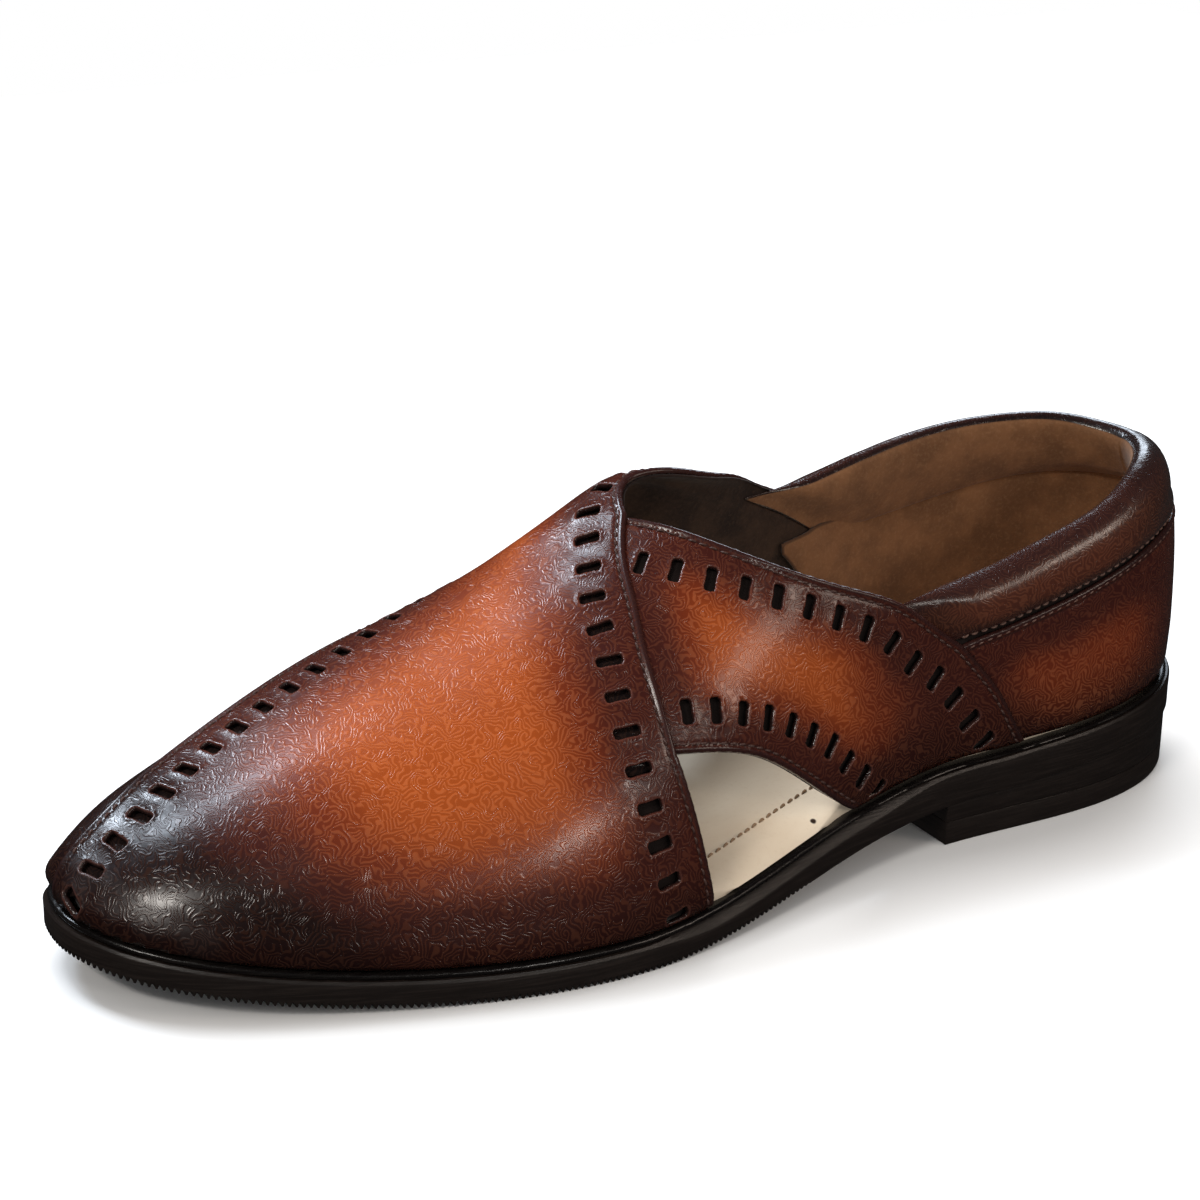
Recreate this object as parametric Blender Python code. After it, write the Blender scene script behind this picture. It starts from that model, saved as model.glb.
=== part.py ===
"""Left shoe of a pair of closed peshawari chappals: a stitched-up slip-on whose upper is two
broad straps that cross over the instep, with a counter and a padded collar behind them, on a
leather sole with a stacked heel.

Tables are in millimetres and meshes in metres. +X points to the toe, +Y to the outer side of the
foot and +Z up. Stations run along the outsole, 0 at the back of the heel and 1 at the toe tip.
"""

import math

import bmesh
import bpy
import numpy as np
from mathutils.geometry import delaunay_2d_cdt

MM = 0.001

# Outsole length, and the heights of its underside and layers.
LENGTH = 300.0
TOE_SPRING = 9.7
SPRING_STATION = 0.70
BALL_STATION = 0.62
BREAST_STATION = 0.30
SEAT_STATION = 0.25
WAIST_HEIGHT = 11.0
SEAT_RISE = 5.0
FORE_THICKNESS = 6.2
WAIST_THICKNESS = 8.6
WAIST_BEVEL = 2.6
TOP_PIECE = 6.0
HEEL_INSET = 0.5
LEAST_BEVEL = 0.5
BEVEL_RUN = 0.08

# Welt, insole and upper, stacked on the outsole with a hair of air between solids.
GAP = 0.3
WELT_THICKNESS = 1.6
WELT_INSET = 1.0
WELT_WIDTH = 4.7
INSOLE_THICKNESS = 4.3
UPPER_INSET = 0.9
UPPER_WALL = 2.4
INSOLE_EDGE = 0.8
RIM_HEIGHT = 2.2
RIM_FADE = 14.0
LEVEL_GIRTH = 0.93
DIP_GIRTH = -0.25
DIP_SPREAD = 0.28

# Triangle sizes of the upper, and counts of rings.
MESH_SIZE = 6.2
TOE_MESH_SIZE = 4.2
TOE_MESH_START = 0.80
TOE_MESH_RUN = 0.15
ROW_PITCH = 0.87
FOOT_ROWS = (0.55, 1.25)
EDGE_CLEARANCE = 0.45
OUTLINE_RINGS = 56
END_CROWDING = 0.55
HEEL_RINGS = 22
HEEL_CROWDING = 1.3
COLLAR_RINGS = 15
MERGE = 0.005
ON_BACK_LINE = 0.01

# The last. Each row is one section: its station, the outsole's half widths on both sides, the
# height and offset of the crest over it, the station where its rib meets the crest (ribs fan out
# round the heel), how full each flank is (2 is an ellipse), how far and how high the wall tucks in
# above the feather edge, and how far the inner strap dips below the foot behind the throat.
LAST_COLUMNS = (
    "station",
    "lateral",
    "medial",
    "crest",
    "offset",
    "crest_station",
    "lateral_full",
    "medial_full",
    "tuck",
    "tuck_height",
    "dip",
)
LAST_ROWS = (
    (0.000, 0.0, 0.0, 128.0, 0.0, 0.230, 2.10, 2.10, 3.0, 16, 0),
    (0.015, 13.0, 13.0, 128.0, 0.0, 0.232, 2.10, 2.10, 3.0, 16, 0),
    (0.050, 24.0, 23.8, 127.0, 0.0, 0.240, 2.15, 2.15, 3.0, 16, 0),
    (0.120, 32.8, 31.5, 124.0, -0.5, 0.262, 2.20, 2.20, 3.0, 16, 0),
    (0.200, 34.8, 32.6, 119.0, -2.0, 0.300, 2.20, 2.40, 3.0, 16, 0),
    (0.300, 34.8, 30.0, 111.0, -4.5, 0.360, 2.00, 2.40, 3.0, 15, 4),
    (0.400, 39.2, 27.7, 101.0, -7.5, 0.430, 1.80, 2.40, 2.8, 14, 13),
    (0.500, 47.6, 30.1, 89.5, -10.4, 0.510, 1.80, 2.40, 2.6, 12, -1),
    (0.600, 54.0, 37.3, 75.7, -12.4, 0.600, 1.80, 2.40, 2.4, 10, 0),
    (0.680, 53.5, 42.6, 64.8, -12.8, 0.680, 1.80, 2.40, 2.4, 9, 0),
    (0.750, 49.2, 44.2, 57.4, -12.4, 0.750, 1.80, 2.40, 2.4, 8, 0),
    (0.820, 42.8, 41.2, 50.0, -11.4, 0.820, 1.85, 2.40, 2.4, 8, 0),
    (0.890, 34.5, 34.0, 41.9, -9.8, 0.890, 1.90, 2.40, 2.4, 8, 0),
    (0.940, 25.9, 28.0, 36.2, -7.8, 0.940, 1.95, 2.30, 2.4, 7, 0),
    (0.975, 16.4, 22.2, 30.2, -5.8, 0.974, 2.00, 2.20, 2.4, 7, 0),
    (0.993, 7.2, 15.4, 25.2, -4.4, 0.991, 2.00, 2.20, 2.4, 7, 0),
    (1.000, -3.6, 3.6, 17.9, -3.6, 0.997, 2.00, 2.20, 2.4, 7, 0),
)

# Edges of the upper, drawn on the last as (station, girth): girth runs from 1 at the outer feather
# edge over the crest at 0 to -1 at the inner one.
EDGE_COLUMNS = ("station", "girth")
OVER_STRAP_FRONT = ((0.573, 0.64), (0.567, 0.80), (0.553, 1.0))
OVER_STRAP_TOP = (
    (0.529, 0.135),
    (0.520, 0.060),
    (0.505, 0.000),
    (0.480, -0.025),
    (0.456, -0.047),
    (0.432, -0.087),
    (0.408, -0.150),
    (0.389, -0.241),
    (0.374, -0.370),
    (0.363, -0.455),
    (0.346, -0.530),
    (0.325, -0.600),
    (0.301, -0.664),
    (0.282, -0.709),
)
OVER_STRAP_ARCH = (
    (0.573, -0.63),
    (0.530, -0.69),
    (0.495, -0.75),
    (0.455, -0.84),
    (0.425, -0.92),
    (0.400, -1.0),
)
UNDER_STRAP_TOP = (
    (0.529, 0.135),
    (0.504, 0.232),
    (0.457, 0.387),
    (0.407, 0.516),
    (0.376, 0.582),
    (0.343, 0.650),
    (0.327, 0.690),
    (0.307, 0.741),
    (0.290, 0.778),
)
UNDER_STRAP_ARCH = (
    (0.573, 0.64),
    (0.536, 0.69),
    (0.504, 0.742),
    (0.460, 0.843),
    (0.425, 0.93),
    (0.397, 1.0),
)
UNDER_STRAP_FRONT = ((0.573, -0.63), (0.566, -0.82), (0.553, -1.0))

# The seam between counter and collar, and the top of the collar, from the strap to the back.
OUTER_SEAM = ((0.290, 0.778), (0.200, 0.764), (0.126, 0.747), (0.064, 0.730), (0.0, 0.722))
INNER_SEAM = (
    (0.282, -0.709),
    (0.249, -0.721),
    (0.199, -0.730),
    (0.148, -0.728),
    (0.096, -0.721),
    (0.043, -0.720),
    (0.0, -0.722),
)
OUTER_COLLAR_TOP = (
    (0.343, 0.650),
    (0.270, 0.662),
    (0.195, 0.652),
    (0.125, 0.632),
    (0.064, 0.600),
    (0.0, 0.586),
)
INNER_COLLAR_TOP = (
    (0.367, -0.425),
    (0.326, -0.508),
    (0.294, -0.542),
    (0.244, -0.558),
    (0.192, -0.567),
    (0.138, -0.570),
    (0.081, -0.574),
    (0.0, -0.586),
)

# Section of the padded collar: rise is 0 at the seam and 1 at the collar's top line on the last,
# out is the distance outwards from the last in millimetres.
COLLAR_COLUMNS = ("rise", "out")
COLLAR_SECTION = (
    (0.035, -0.2),
    (0.10, 1.5),
    (0.28, 2.9),
    (0.50, 3.2),
    (0.70, 2.4),
    (0.86, 0.4),
    (0.94, -2.2),
    (0.88, -4.6),
    (0.72, -5.6),
    (0.50, -5.6),
    (0.28, -4.6),
    (0.10, -3.2),
    (0.035, -2.2),
)
COLLAR_END_FLATTEN = 0.35
COLLAR_END_GAP = 1.1
COLLAR_BACK_LEAN = 4.2
COLLAR_BACK_RUN = 60.0


def smooth(x):
    x = np.clip(x, 0.0, 1.0)
    return x * x * (3.0 - 2.0 * x)


def natural_spline(x, y):
    """Returns a function: the natural cubic spline through the points (x, y)."""
    x = np.asarray(x, float)
    y = np.asarray(y, float)
    last = len(x) - 1
    step = np.diff(x)
    slope = np.diff(y) / step
    matrix = np.eye(last + 1)
    right = np.zeros(last + 1)
    for i in range(1, last):
        matrix[i, i - 1 : i + 2] = step[i - 1], 2.0 * (step[i - 1] + step[i]), step[i]
        right[i] = 6.0 * (slope[i] - slope[i - 1])
    bend = np.linalg.solve(matrix, right)

    def curve(t):
        t = np.asarray(t, float)
        i = np.clip(np.searchsorted(x, t) - 1, 0, last - 1)
        width = x[i + 1] - x[i]
        before = x[i + 1] - t
        after = t - x[i]
        cubic = (bend[i] * before**3 + bend[i + 1] * after**3) / (6.0 * width)
        left = (y[i] / width - bend[i] * width / 6.0) * before
        return cubic + left + (y[i + 1] / width - bend[i + 1] * width / 6.0) * after

    return curve


def sole_bottom(x):
    """Height of the outsole's underside x mm in front of the back of the heel."""
    station = np.asarray(x) / LENGTH
    toe = TOE_SPRING * (np.clip(station - SPRING_STATION, 0.0, 1.0) / (1.0 - SPRING_STATION)) ** 2
    waist = WAIST_HEIGHT * smooth((BALL_STATION - station) / (BALL_STATION - SEAT_STATION))
    return toe + waist + SEAT_RISE * np.clip((SEAT_STATION - station) / SEAT_STATION, 0.0, 1.0)


def sole_top(x):
    station = np.asarray(x) / LENGTH
    thicker = np.clip((BALL_STATION - station) / (BALL_STATION - BREAST_STATION), 0.0, 1.0)
    return sole_bottom(x) + FORE_THICKNESS + (WAIST_THICKNESS - FORE_THICKNESS) * thicker


class Last:
    """The foot form. A rib at position t runs from the outer feather edge (girth 1) over the crest
    (girth 0) to the inner feather edge (girth -1); t is 0 at the back and self.end at the tip."""

    def __init__(self):
        rows = dict(zip(LAST_COLUMNS, np.array(LAST_ROWS, float).T))
        x = rows["station"] * LENGTH
        lateral = rows["lateral"]
        medial = rows["medial"]
        run = 0.5 * (np.hypot(np.diff(x), np.diff(lateral)) + np.hypot(np.diff(x), np.diff(medial)))
        t = np.concatenate([[0.0], np.cumsum(run)])
        self.end = t[-1]
        # Each curve is carried on past both ends, so that it rounds the heel and the tip smoothly.
        beyond = 4

        def around(heel, own, tip):
            return np.concatenate([heel[beyond:0:-1], own, tip[-2 : -2 - beyond : -1]])

        def spline(heel, own, tip):
            return natural_spline(around(-t, t, 2.0 * self.end - t), around(heel, own, tip))

        self.x = spline(x, x, x)
        self.lateral = spline(-medial, lateral, -medial)
        self.medial = spline(lateral, -medial, lateral)
        rise = rows["crest"] - sole_top(x)
        rise[-1] = 0.0
        self.rise = spline(rise, rise, -rise)
        crest_x = rows["crest_station"] * LENGTH
        self.crest_x = spline(crest_x, crest_x, crest_x)
        self.offset = spline(rows["offset"], rows["offset"], rows["offset"])
        self.tuck = spline(rows["tuck"], rows["tuck"], rows["tuck"])
        self.tuck_height = spline(rows["tuck_height"], rows["tuck_height"], rows["tuck_height"])
        self.dip = spline(rows["dip"], rows["dip"], rows["dip"])
        self.lateral_full = spline(rows["lateral_full"], rows["lateral_full"], rows["lateral_full"])
        self.medial_full = spline(rows["medial_full"], rows["medial_full"], rows["medial_full"])
        fine = np.linspace(0.0, self.end, 2001)
        self.fine = fine
        self.fine_x = self.x(fine)

    def at(self, station):
        """The position t whose edge lies at this station."""
        return np.interp(np.asarray(station) * LENGTH, self.fine_x, self.fine)

    def edge(self, t, side, inset=0.0):
        """Outline of the outsole on side 1 (outer) or -1 (inner), moved inwards by inset."""
        across = self.lateral if side > 0 else self.medial
        step = 0.01
        here = np.stack([self.x(t), across(t)], -1)
        run = np.stack([self.x(t + step) - self.x(t - step), across(t + step) - across(t - step)], -1)
        run = run / np.linalg.norm(run, axis=-1, keepdims=True)
        inward = side * np.stack([run[..., 1], -run[..., 0]], -1)
        return here + inward * np.asarray(inset)[..., None]

    def point(self, t, girth):
        """Points of the upper's outer surface, x measured from the back of the heel."""
        angle = (1.0 - girth) * math.pi / 2.0
        cosine = np.cos(angle)
        sine = np.sin(angle)
        outer = 0.5 + 0.5 * cosine
        full = self.lateral_full(t) * outer + self.medial_full(t) * (1.0 - outer)
        radius = (np.abs(cosine) ** full + np.abs(sine) ** full) ** (-1.0 / full)
        across = (radius * cosine)[..., None]
        left = self.edge(t, 1, UPPER_INSET)
        right = self.edge(t, -1, UPPER_INSET)
        crest = np.stack([self.crest_x(t), self.offset(t)], -1)
        middle = (left + right) / 2.0
        flat = crest + across * (left - right) / 2.0
        flat = flat + across**2 * (2.0 - across**2) * (middle - crest)
        height = self.rise(t) * radius * sine
        from_left = self.edge(t, 1, 1.0) - self.edge(t, 1)
        from_right = self.edge(t, -1, 1.0) - self.edge(t, -1)
        inward = (from_left + from_right) / 2.0 + across * (from_left - from_right) / 2.0
        tuck = self.tuck(t) * np.clip(1.0 - height / self.tuck_height(t), 0.0, 1.0) ** 2
        flat = flat + inward * tuck[..., None]
        lift = RIM_HEIGHT * np.clip(1.0 - height / RIM_FADE, 0.0, 1.0) ** 2
        dip = self.dip(t) * radius * sine * np.exp(-0.5 * ((girth - DIP_GIRTH) / DIP_SPREAD) ** 2)
        z = sole_top(middle[..., 0]) + height + lift - dip
        return np.concatenate([flat, z[..., None]], -1)

    def normal(self, t, girth):
        """Outward unit normals; level at the feather edge, so that the upper's rim lies flat."""
        step = 0.02
        turn = 0.0004
        safe = np.clip(t, 0.0, self.end - 0.05)
        along = self.point(safe + step, girth) - self.point(safe - step, girth)
        over = self.point(safe, girth + turn) - self.point(safe, girth - turn)
        out = np.cross(along, over)
        level = smooth((1.0 - np.abs(girth)) / (1.0 - LEVEL_GIRTH))
        out[..., 2] *= level
        out[..., 1] *= np.where(t < ON_BACK_LINE, 0.0, 1.0)
        return out / np.linalg.norm(out, axis=-1, keepdims=True)

    def half_girth(self, t):
        """Half the length of the rib at t, which lays the surface out almost flat."""
        girth = np.linspace(-1.0, 1.0, 81)
        rib = self.point(np.full(girth.shape, t), girth)
        return 0.5 * np.linalg.norm(np.diff(rib, axis=0), axis=1).sum()


LAST = Last()
outline_y = np.concatenate([LAST.lateral(LAST.fine), LAST.medial(LAST.fine)])
CENTRE = np.array([LENGTH / 2.0, (outline_y.max() + outline_y.min()) / 2.0, 0.0])


def on_last(rows):
    """A smooth line through (station, girth) rows, as 400 close (t, girth) points."""
    columns = dict(zip(EDGE_COLUMNS, np.array(rows, float).T))
    t = LAST.at(columns["station"])
    girth = columns["girth"]
    steps = LAST.point(t, girth)
    run = np.concatenate([[0.0], np.cumsum(np.linalg.norm(np.diff(steps, axis=0), axis=1))])
    fine = np.linspace(0.0, run[-1], 400)
    return np.stack([natural_spline(run, t)(fine), natural_spline(run, girth)(fine)], -1)


def spaced(line, size):
    """Points along a (t, girth) line, about size mm apart on the last."""
    where = LAST.point(line[:, 0], line[:, 1])
    run = np.concatenate([[0.0], np.cumsum(np.linalg.norm(np.diff(where, axis=0), axis=1))])
    even = np.linspace(0.0, run[-1], max(2, round(run[-1] / size) + 1))
    return np.stack([np.interp(even, run, line[:, 0]), np.interp(even, run, line[:, 1])], -1)


def straight(start, end):
    return np.linspace(start, end, 400)


def upper_outline():
    """The edge of the upper, all the way round, as (t, girth) points. It starts at the back on the
    outer side."""
    tip = LAST.end
    outer_foot = UNDER_STRAP_ARCH[-1][0]
    inner_foot = OVER_STRAP_ARCH[-1][0]
    outer_front = OVER_STRAP_FRONT[-1][0]
    inner_front = UNDER_STRAP_FRONT[-1][0]
    seam_girth = OUTER_SEAM[-1][1]
    lines = [
        (straight((0.0, 1.0), (LAST.at(outer_foot), 1.0)), MESH_SIZE),
        (on_last(UNDER_STRAP_ARCH)[::-1], MESH_SIZE),
        (on_last(OVER_STRAP_FRONT), MESH_SIZE),
        (straight((LAST.at(outer_front), 1.0), (tip, 1.0)), TOE_MESH_SIZE),
        (straight((tip, -1.0), (LAST.at(inner_front), -1.0)), TOE_MESH_SIZE),
        (on_last(UNDER_STRAP_FRONT)[::-1], MESH_SIZE),
        (on_last(OVER_STRAP_ARCH), MESH_SIZE),
        (straight((LAST.at(inner_foot), -1.0), (0.0, -1.0)), MESH_SIZE),
        (straight((0.0, -1.0), (0.0, -seam_girth)), MESH_SIZE),
        (on_last(INNER_SEAM)[::-1], MESH_SIZE),
        (on_last(OVER_STRAP_TOP)[::-1], MESH_SIZE),
        (on_last(UNDER_STRAP_TOP), MESH_SIZE),
        (on_last(OUTER_SEAM), MESH_SIZE),
        (straight((0.0, seam_girth), (0.0, 1.0)), MESH_SIZE),
    ]
    return np.concatenate([spaced(line, size)[:-1] for line, size in lines])


def laid_flat(points):
    """(t, girth) points laid out almost without stretch, for meshing."""
    return np.array([(t, girth * LAST.half_girth(t)) for t, girth in points])


def mesh_size(t):
    toe = smooth((t / LAST.end - TOE_MESH_START) / TOE_MESH_RUN)
    return MESH_SIZE + (TOE_MESH_SIZE - MESH_SIZE) * toe


def inside(polygon, points):
    """Which points lie inside a polygon, by counting crossings of a ray."""
    x, y = points.T
    found = np.zeros(len(points), bool)
    for (x0, y0), (x1, y1) in zip(polygon, np.roll(polygon, -1, axis=0)):
        if y0 == y1:
            continue
        crosses = (y0 > y) != (y1 > y)
        found ^= crosses & (x < x0 + (y - y0) * (x1 - x0) / (y1 - y0))
    return found


def lattice():
    """(t, girth) points spread over the last in staggered rows, closer together at the foot."""
    points = []
    t = 0.0
    row = 0
    while t < LAST.end:
        size = mesh_size(t)
        half = LAST.half_girth(t)
        level = half - FOOT_ROWS[-1] * size
        count = max(1, round(level / size))
        across = (np.arange(-count, count + 1) + 0.5 * (row % 2)) * level / count
        foot = half - np.array(FOOT_ROWS) * size
        for distance in np.concatenate([across[np.abs(across) < level * 0.99], foot, -foot]):
            if abs(distance) < half:
                points.append((t, distance / half))
        t += size * ROW_PITCH
        row += 1
    return np.array(points)


def upper_mesh():
    """Points (t, girth) and faces of the upper's outer skin. The outline's points come first, and
    the last thing returned is how many they are."""
    outline = upper_outline()
    flat_outline = laid_flat(outline)
    points = lattice()
    flat = laid_flat(points)
    away = np.min(np.linalg.norm(flat[:, None] - flat_outline[None], axis=2), axis=1)
    kept = inside(flat_outline, flat) & (away > EDGE_CLEARANCE * mesh_size(points[:, 0]))
    points = points[kept]
    flat = np.concatenate([flat_outline, flat[kept]])
    count = len(outline)
    edges = [(i, (i + 1) % count) for i in range(count)]
    _, _, faces, sources, _, _ = delaunay_2d_cdt([tuple(p) for p in flat], edges, [], 1, 1e-6)
    faces = [[sources[i][0] for i in face] for face in faces]
    return np.concatenate([outline, points]), faces, count


def solid(name, points, faces, material):
    """A node from points in millimetres, x measured from the back of the heel, and faces."""
    mesh = bmesh.new()
    corners = [mesh.verts.new((np.asarray(point) - CENTRE) * MM) for point in points]
    for face in faces:
        if len(set(face)) > 2:
            mesh.faces.new([corners[i] for i in face])
    bmesh.ops.remove_doubles(mesh, verts=mesh.verts, dist=MERGE * MM)
    bmesh.ops.dissolve_degenerate(mesh, edges=mesh.edges, dist=MERGE * MM)
    bmesh.ops.recalc_face_normals(mesh, faces=mesh.faces)
    data = bpy.data.meshes.new(name)
    mesh.to_mesh(data)
    mesh.free()
    data.materials.append(material)
    node = bpy.data.objects.new(name, data)
    bpy.context.scene.collection.objects.link(node)
    return node


def material(name, colour, roughness, metallic=0.0):
    made = bpy.data.materials.new(name)
    made.use_nodes = True
    shader = made.node_tree.nodes["Principled BSDF"]
    shader.inputs["Base Color"].default_value = (*colour, 1.0)
    shader.inputs["Roughness"].default_value = roughness
    shader.inputs["Metallic"].default_value = metallic
    return made


def upper(leather):
    """One hollow shell: the straps, the vamp and the counter, open on top, below and at both sides."""
    chart, faces, edge_count = upper_mesh()
    t, girth = chart.T
    outer = LAST.point(t, girth)
    inner = outer - UPPER_WALL * LAST.normal(t, girth)
    count = len(outer)
    shell = [list(face) for face in faces]
    shell += [[i + count for i in reversed(face)] for face in faces]
    for i in range(edge_count):
        following = (i + 1) % edge_count
        if max(t[i], t[following]) > ON_BACK_LINE:
            shell.append([i, i + count, following + count, following])
    return solid("upper", np.concatenate([outer, inner]), shell, leather)


def ring(inset, height, t):
    """A closed ring of points: the outsole's outline moved inwards, at a height given by x."""
    inset = np.broadcast_to(inset, t.shape)
    outer = LAST.edge(t, 1, inset)
    inner = LAST.edge(t, -1, inset)[-2:0:-1]
    flat = np.concatenate([outer, inner])
    return np.concatenate([flat, np.asarray(height(flat[:, 0]))[:, None]], -1)


def band(first, second, count):
    """Quads between two rings whose points start at these indices."""
    return [[first + i, first + (i + 1) % count, second + (i + 1) % count, second + i] for i in range(count)]


def ladder(first, count):
    """Faces that close a ring made by ring(), rung by rung."""
    half = count // 2
    faces = [[first, first + 1, first + count - 1]]
    for i in range(1, half - 1):
        faces.append([first + i, first + i + 1, first + count - i - 1, first + count - i])
    faces.append([first + half - 1, first + half, first + half + 1])
    return faces


def stack(name, rings, look):
    """A solid with a flat bottom and top from rings of equal count, from the bottom up."""
    count = len(rings[0])
    faces = ladder(0, count) + ladder(count * (len(rings) - 1), count)
    for level in range(len(rings) - 1):
        faces += band(count * level, count * (level + 1), count)
    return solid(name, np.concatenate(rings), faces, look)


def outline_positions():
    """Positions round the outline, closer together at the back and at the tip."""
    even = np.linspace(0.0, 1.0, OUTLINE_RINGS + 1)
    return LAST.end * (even - END_CROWDING * np.sin(2.0 * math.pi * even) / (2.0 * math.pi))


def outsole(look):
    t = outline_positions()
    station = LAST.x(t) / LENGTH
    from_ball = smooth((BALL_STATION - station) / BEVEL_RUN)
    from_breast = smooth((station - BREAST_STATION) / BEVEL_RUN)
    bevel = LEAST_BEVEL + (WAIST_BEVEL - LEAST_BEVEL) * from_ball * from_breast

    def side_top(x):
        return sole_top(x) - np.interp(x, LAST.x(t), bevel)

    rings = [
        ring(0.0, sole_bottom, t),
        ring(0.0, side_top, t),
        ring(bevel, sole_top, t),
    ]
    return stack("outsole", rings, look)


def welt(look):
    """A ring of leather on the edge of the outsole, which carries the rim of the upper."""
    t = outline_positions()

    def low(x):
        return sole_top(x) + GAP

    def high(x):
        return sole_top(x) + GAP + WELT_THICKNESS

    far = WELT_INSET + WELT_WIDTH
    rings = [ring(WELT_INSET, low, t), ring(far, low, t), ring(far, high, t), ring(WELT_INSET, high, t)]
    count = len(rings[0])
    faces = []
    for level in range(len(rings)):
        faces += band(count * level, count * ((level + 1) % len(rings)), count)
    return solid("welt", np.concatenate(rings), faces, look)


def insole(look):
    """The footbed, inside the foot of the upper's wall."""
    t = outline_positions()
    inset = UPPER_INSET + LAST.tuck(t) + UPPER_WALL + 2.0 * GAP

    def low(x):
        return sole_top(x) + GAP

    def high(x):
        return sole_top(x) + GAP + INSOLE_THICKNESS

    def shoulder(x):
        return high(x) - INSOLE_EDGE

    rings = [
        ring(inset, low, t),
        ring(inset, shoulder, t),
        ring(inset + INSOLE_EDGE, high, t),
    ]
    return stack("insole", rings, look)


def heel_piece(name, low, high, look):
    """A layer of the heel, from the back of the shoe to the breast."""
    t = LAST.at(BREAST_STATION) * np.linspace(0.0, 1.0, HEEL_RINGS + 1) ** HEEL_CROWDING
    inset = np.full(t.shape, HEEL_INSET)
    outer = LAST.edge(t, 1, inset)
    inner = LAST.edge(t, -1, inset)[:0:-1]
    flat = np.concatenate([outer, inner])
    flat[:, 0] = np.minimum(flat[:, 0], BREAST_STATION * LENGTH)
    rings = [np.concatenate([flat, np.asarray(height(flat[:, 0]))[:, None]], -1) for height in (low, high)]
    count = len(flat)
    faces = band(0, count, count)
    for first in (0, count):
        faces.append([first, first + 1, first + count - 1])
        for i in range(1, HEEL_RINGS):
            faces.append([first + i, first + i + 1, first + count - i - 1, first + count - i])
    return solid(name, np.concatenate(rings), faces, look)


def strap_edge(strap, seam_girth, top_girth, rise):
    """Position t on a strap's edge at a rise between the collar's seam and its top."""
    line = on_last(strap)
    line = line[np.argsort(line[:, 1])]
    return np.interp(seam_girth + (top_girth - seam_girth) * rise, line[:, 1], line[:, 0])


def collar_half(seam, top, strap, parts):
    """Rings of the padded collar on one side, from the back to the strap, as (parts, section)."""
    columns = dict(zip(COLLAR_COLUMNS, np.array(COLLAR_SECTION).T))
    rise = columns["rise"]
    out = columns["out"]
    seam_line = on_last(seam)[::-1]
    top_line = on_last(top)[::-1]
    seam_girth = seam[0][1]
    top_girth = top[0][1]
    end = strap_edge(strap, seam_girth, top_girth, rise) - COLLAR_END_GAP
    rings = []
    for part in np.linspace(0.0, 1.0, parts):
        t = end * part
        low = np.interp(LAST.at(seam[0][0]) * part, seam_line[:, 0], seam_line[:, 1])
        high = np.interp(LAST.at(top[0][0]) * part, top_line[:, 0], top_line[:, 1])
        girth = low + (high - low) * rise
        flatten = COLLAR_END_FLATTEN * smooth((part - 0.8) / 0.2)
        swell = out + (-UPPER_WALL / 2.0 - out) * flatten
        swell = swell - COLLAR_BACK_LEAN * np.minimum(4.0 * rise, 1.0) * smooth(1.0 - t / COLLAR_BACK_RUN)
        rings.append(LAST.point(t, girth) + LAST.normal(t, girth) * swell[:, None])
    return rings


def collar_pad(look):
    lateral = collar_half(OUTER_SEAM, OUTER_COLLAR_TOP, UNDER_STRAP_TOP, COLLAR_RINGS)
    medial = collar_half(INNER_SEAM, INNER_COLLAR_TOP, OVER_STRAP_TOP, COLLAR_RINGS)
    rings = lateral[::-1] + medial[1:]
    count = len(COLLAR_SECTION)
    points = np.concatenate(rings)
    faces = []
    for level in range(len(rings) - 1):
        faces += band(count * level, count * (level + 1), count)
    for ring_of_end in (rings[0], rings[-1]):
        points = np.concatenate([points, [ring_of_end.mean(axis=0)]])
    for first, centre in ((0, len(points) - 2), (count * (len(rings) - 1), len(points) - 1)):
        faces += [[first + i, first + (i + 1) % count, centre] for i in range(count)]
    return solid("collar_pad", points, faces, look)


for leftover in list(bpy.data.objects):
    bpy.data.objects.remove(leftover)

BURNISHED = material("burnished_leather", (0.32, 0.11, 0.035), 0.32)
DARK_PAD = material("padded_leather", (0.10, 0.035, 0.025), 0.34)
CREAM = material("insole_leather", (0.76, 0.62, 0.46), 0.55)
EDGE = material("edge_dressing", (0.018, 0.011, 0.009), 0.45)
SOLE_LEATHER = material("sole_leather", (0.030, 0.017, 0.013), 0.50)
TOP_PIECE_RUBBER = material("top_piece_rubber", (0.012, 0.010, 0.009), 0.70)

outsole(SOLE_LEATHER)
heel_piece("heel_base", lambda x: 0.0 * x + TOP_PIECE + GAP, lambda x: sole_bottom(x) - GAP, SOLE_LEATHER)
heel_piece("heel_top_piece", lambda x: 0.0 * x, lambda x: 0.0 * x + TOP_PIECE, TOP_PIECE_RUBBER)
welt(EDGE)
insole(CREAM)
upper(BURNISHED)
collar_pad(DARK_PAD)
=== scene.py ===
"""Looks of the left peshawari chappal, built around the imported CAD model.

Tables are in millimetres and meshes in metres. +X points to the toe, +Y to the outer side of the
foot and +Z up. Leather pieces are drawn on the shoe's last as (station, girth): stations run along
the outsole from 0 at the back of the heel to 1 at the toe tip, and girth runs from 1 at the outer
feather edge over the crest at 0 to -1 at the inner one.
"""

import math

import bpy
import numpy as np
from mathutils import Matrix, Vector
from mathutils.geometry import delaunay_2d_cdt
from mathutils.kdtree import KDTree


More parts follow.
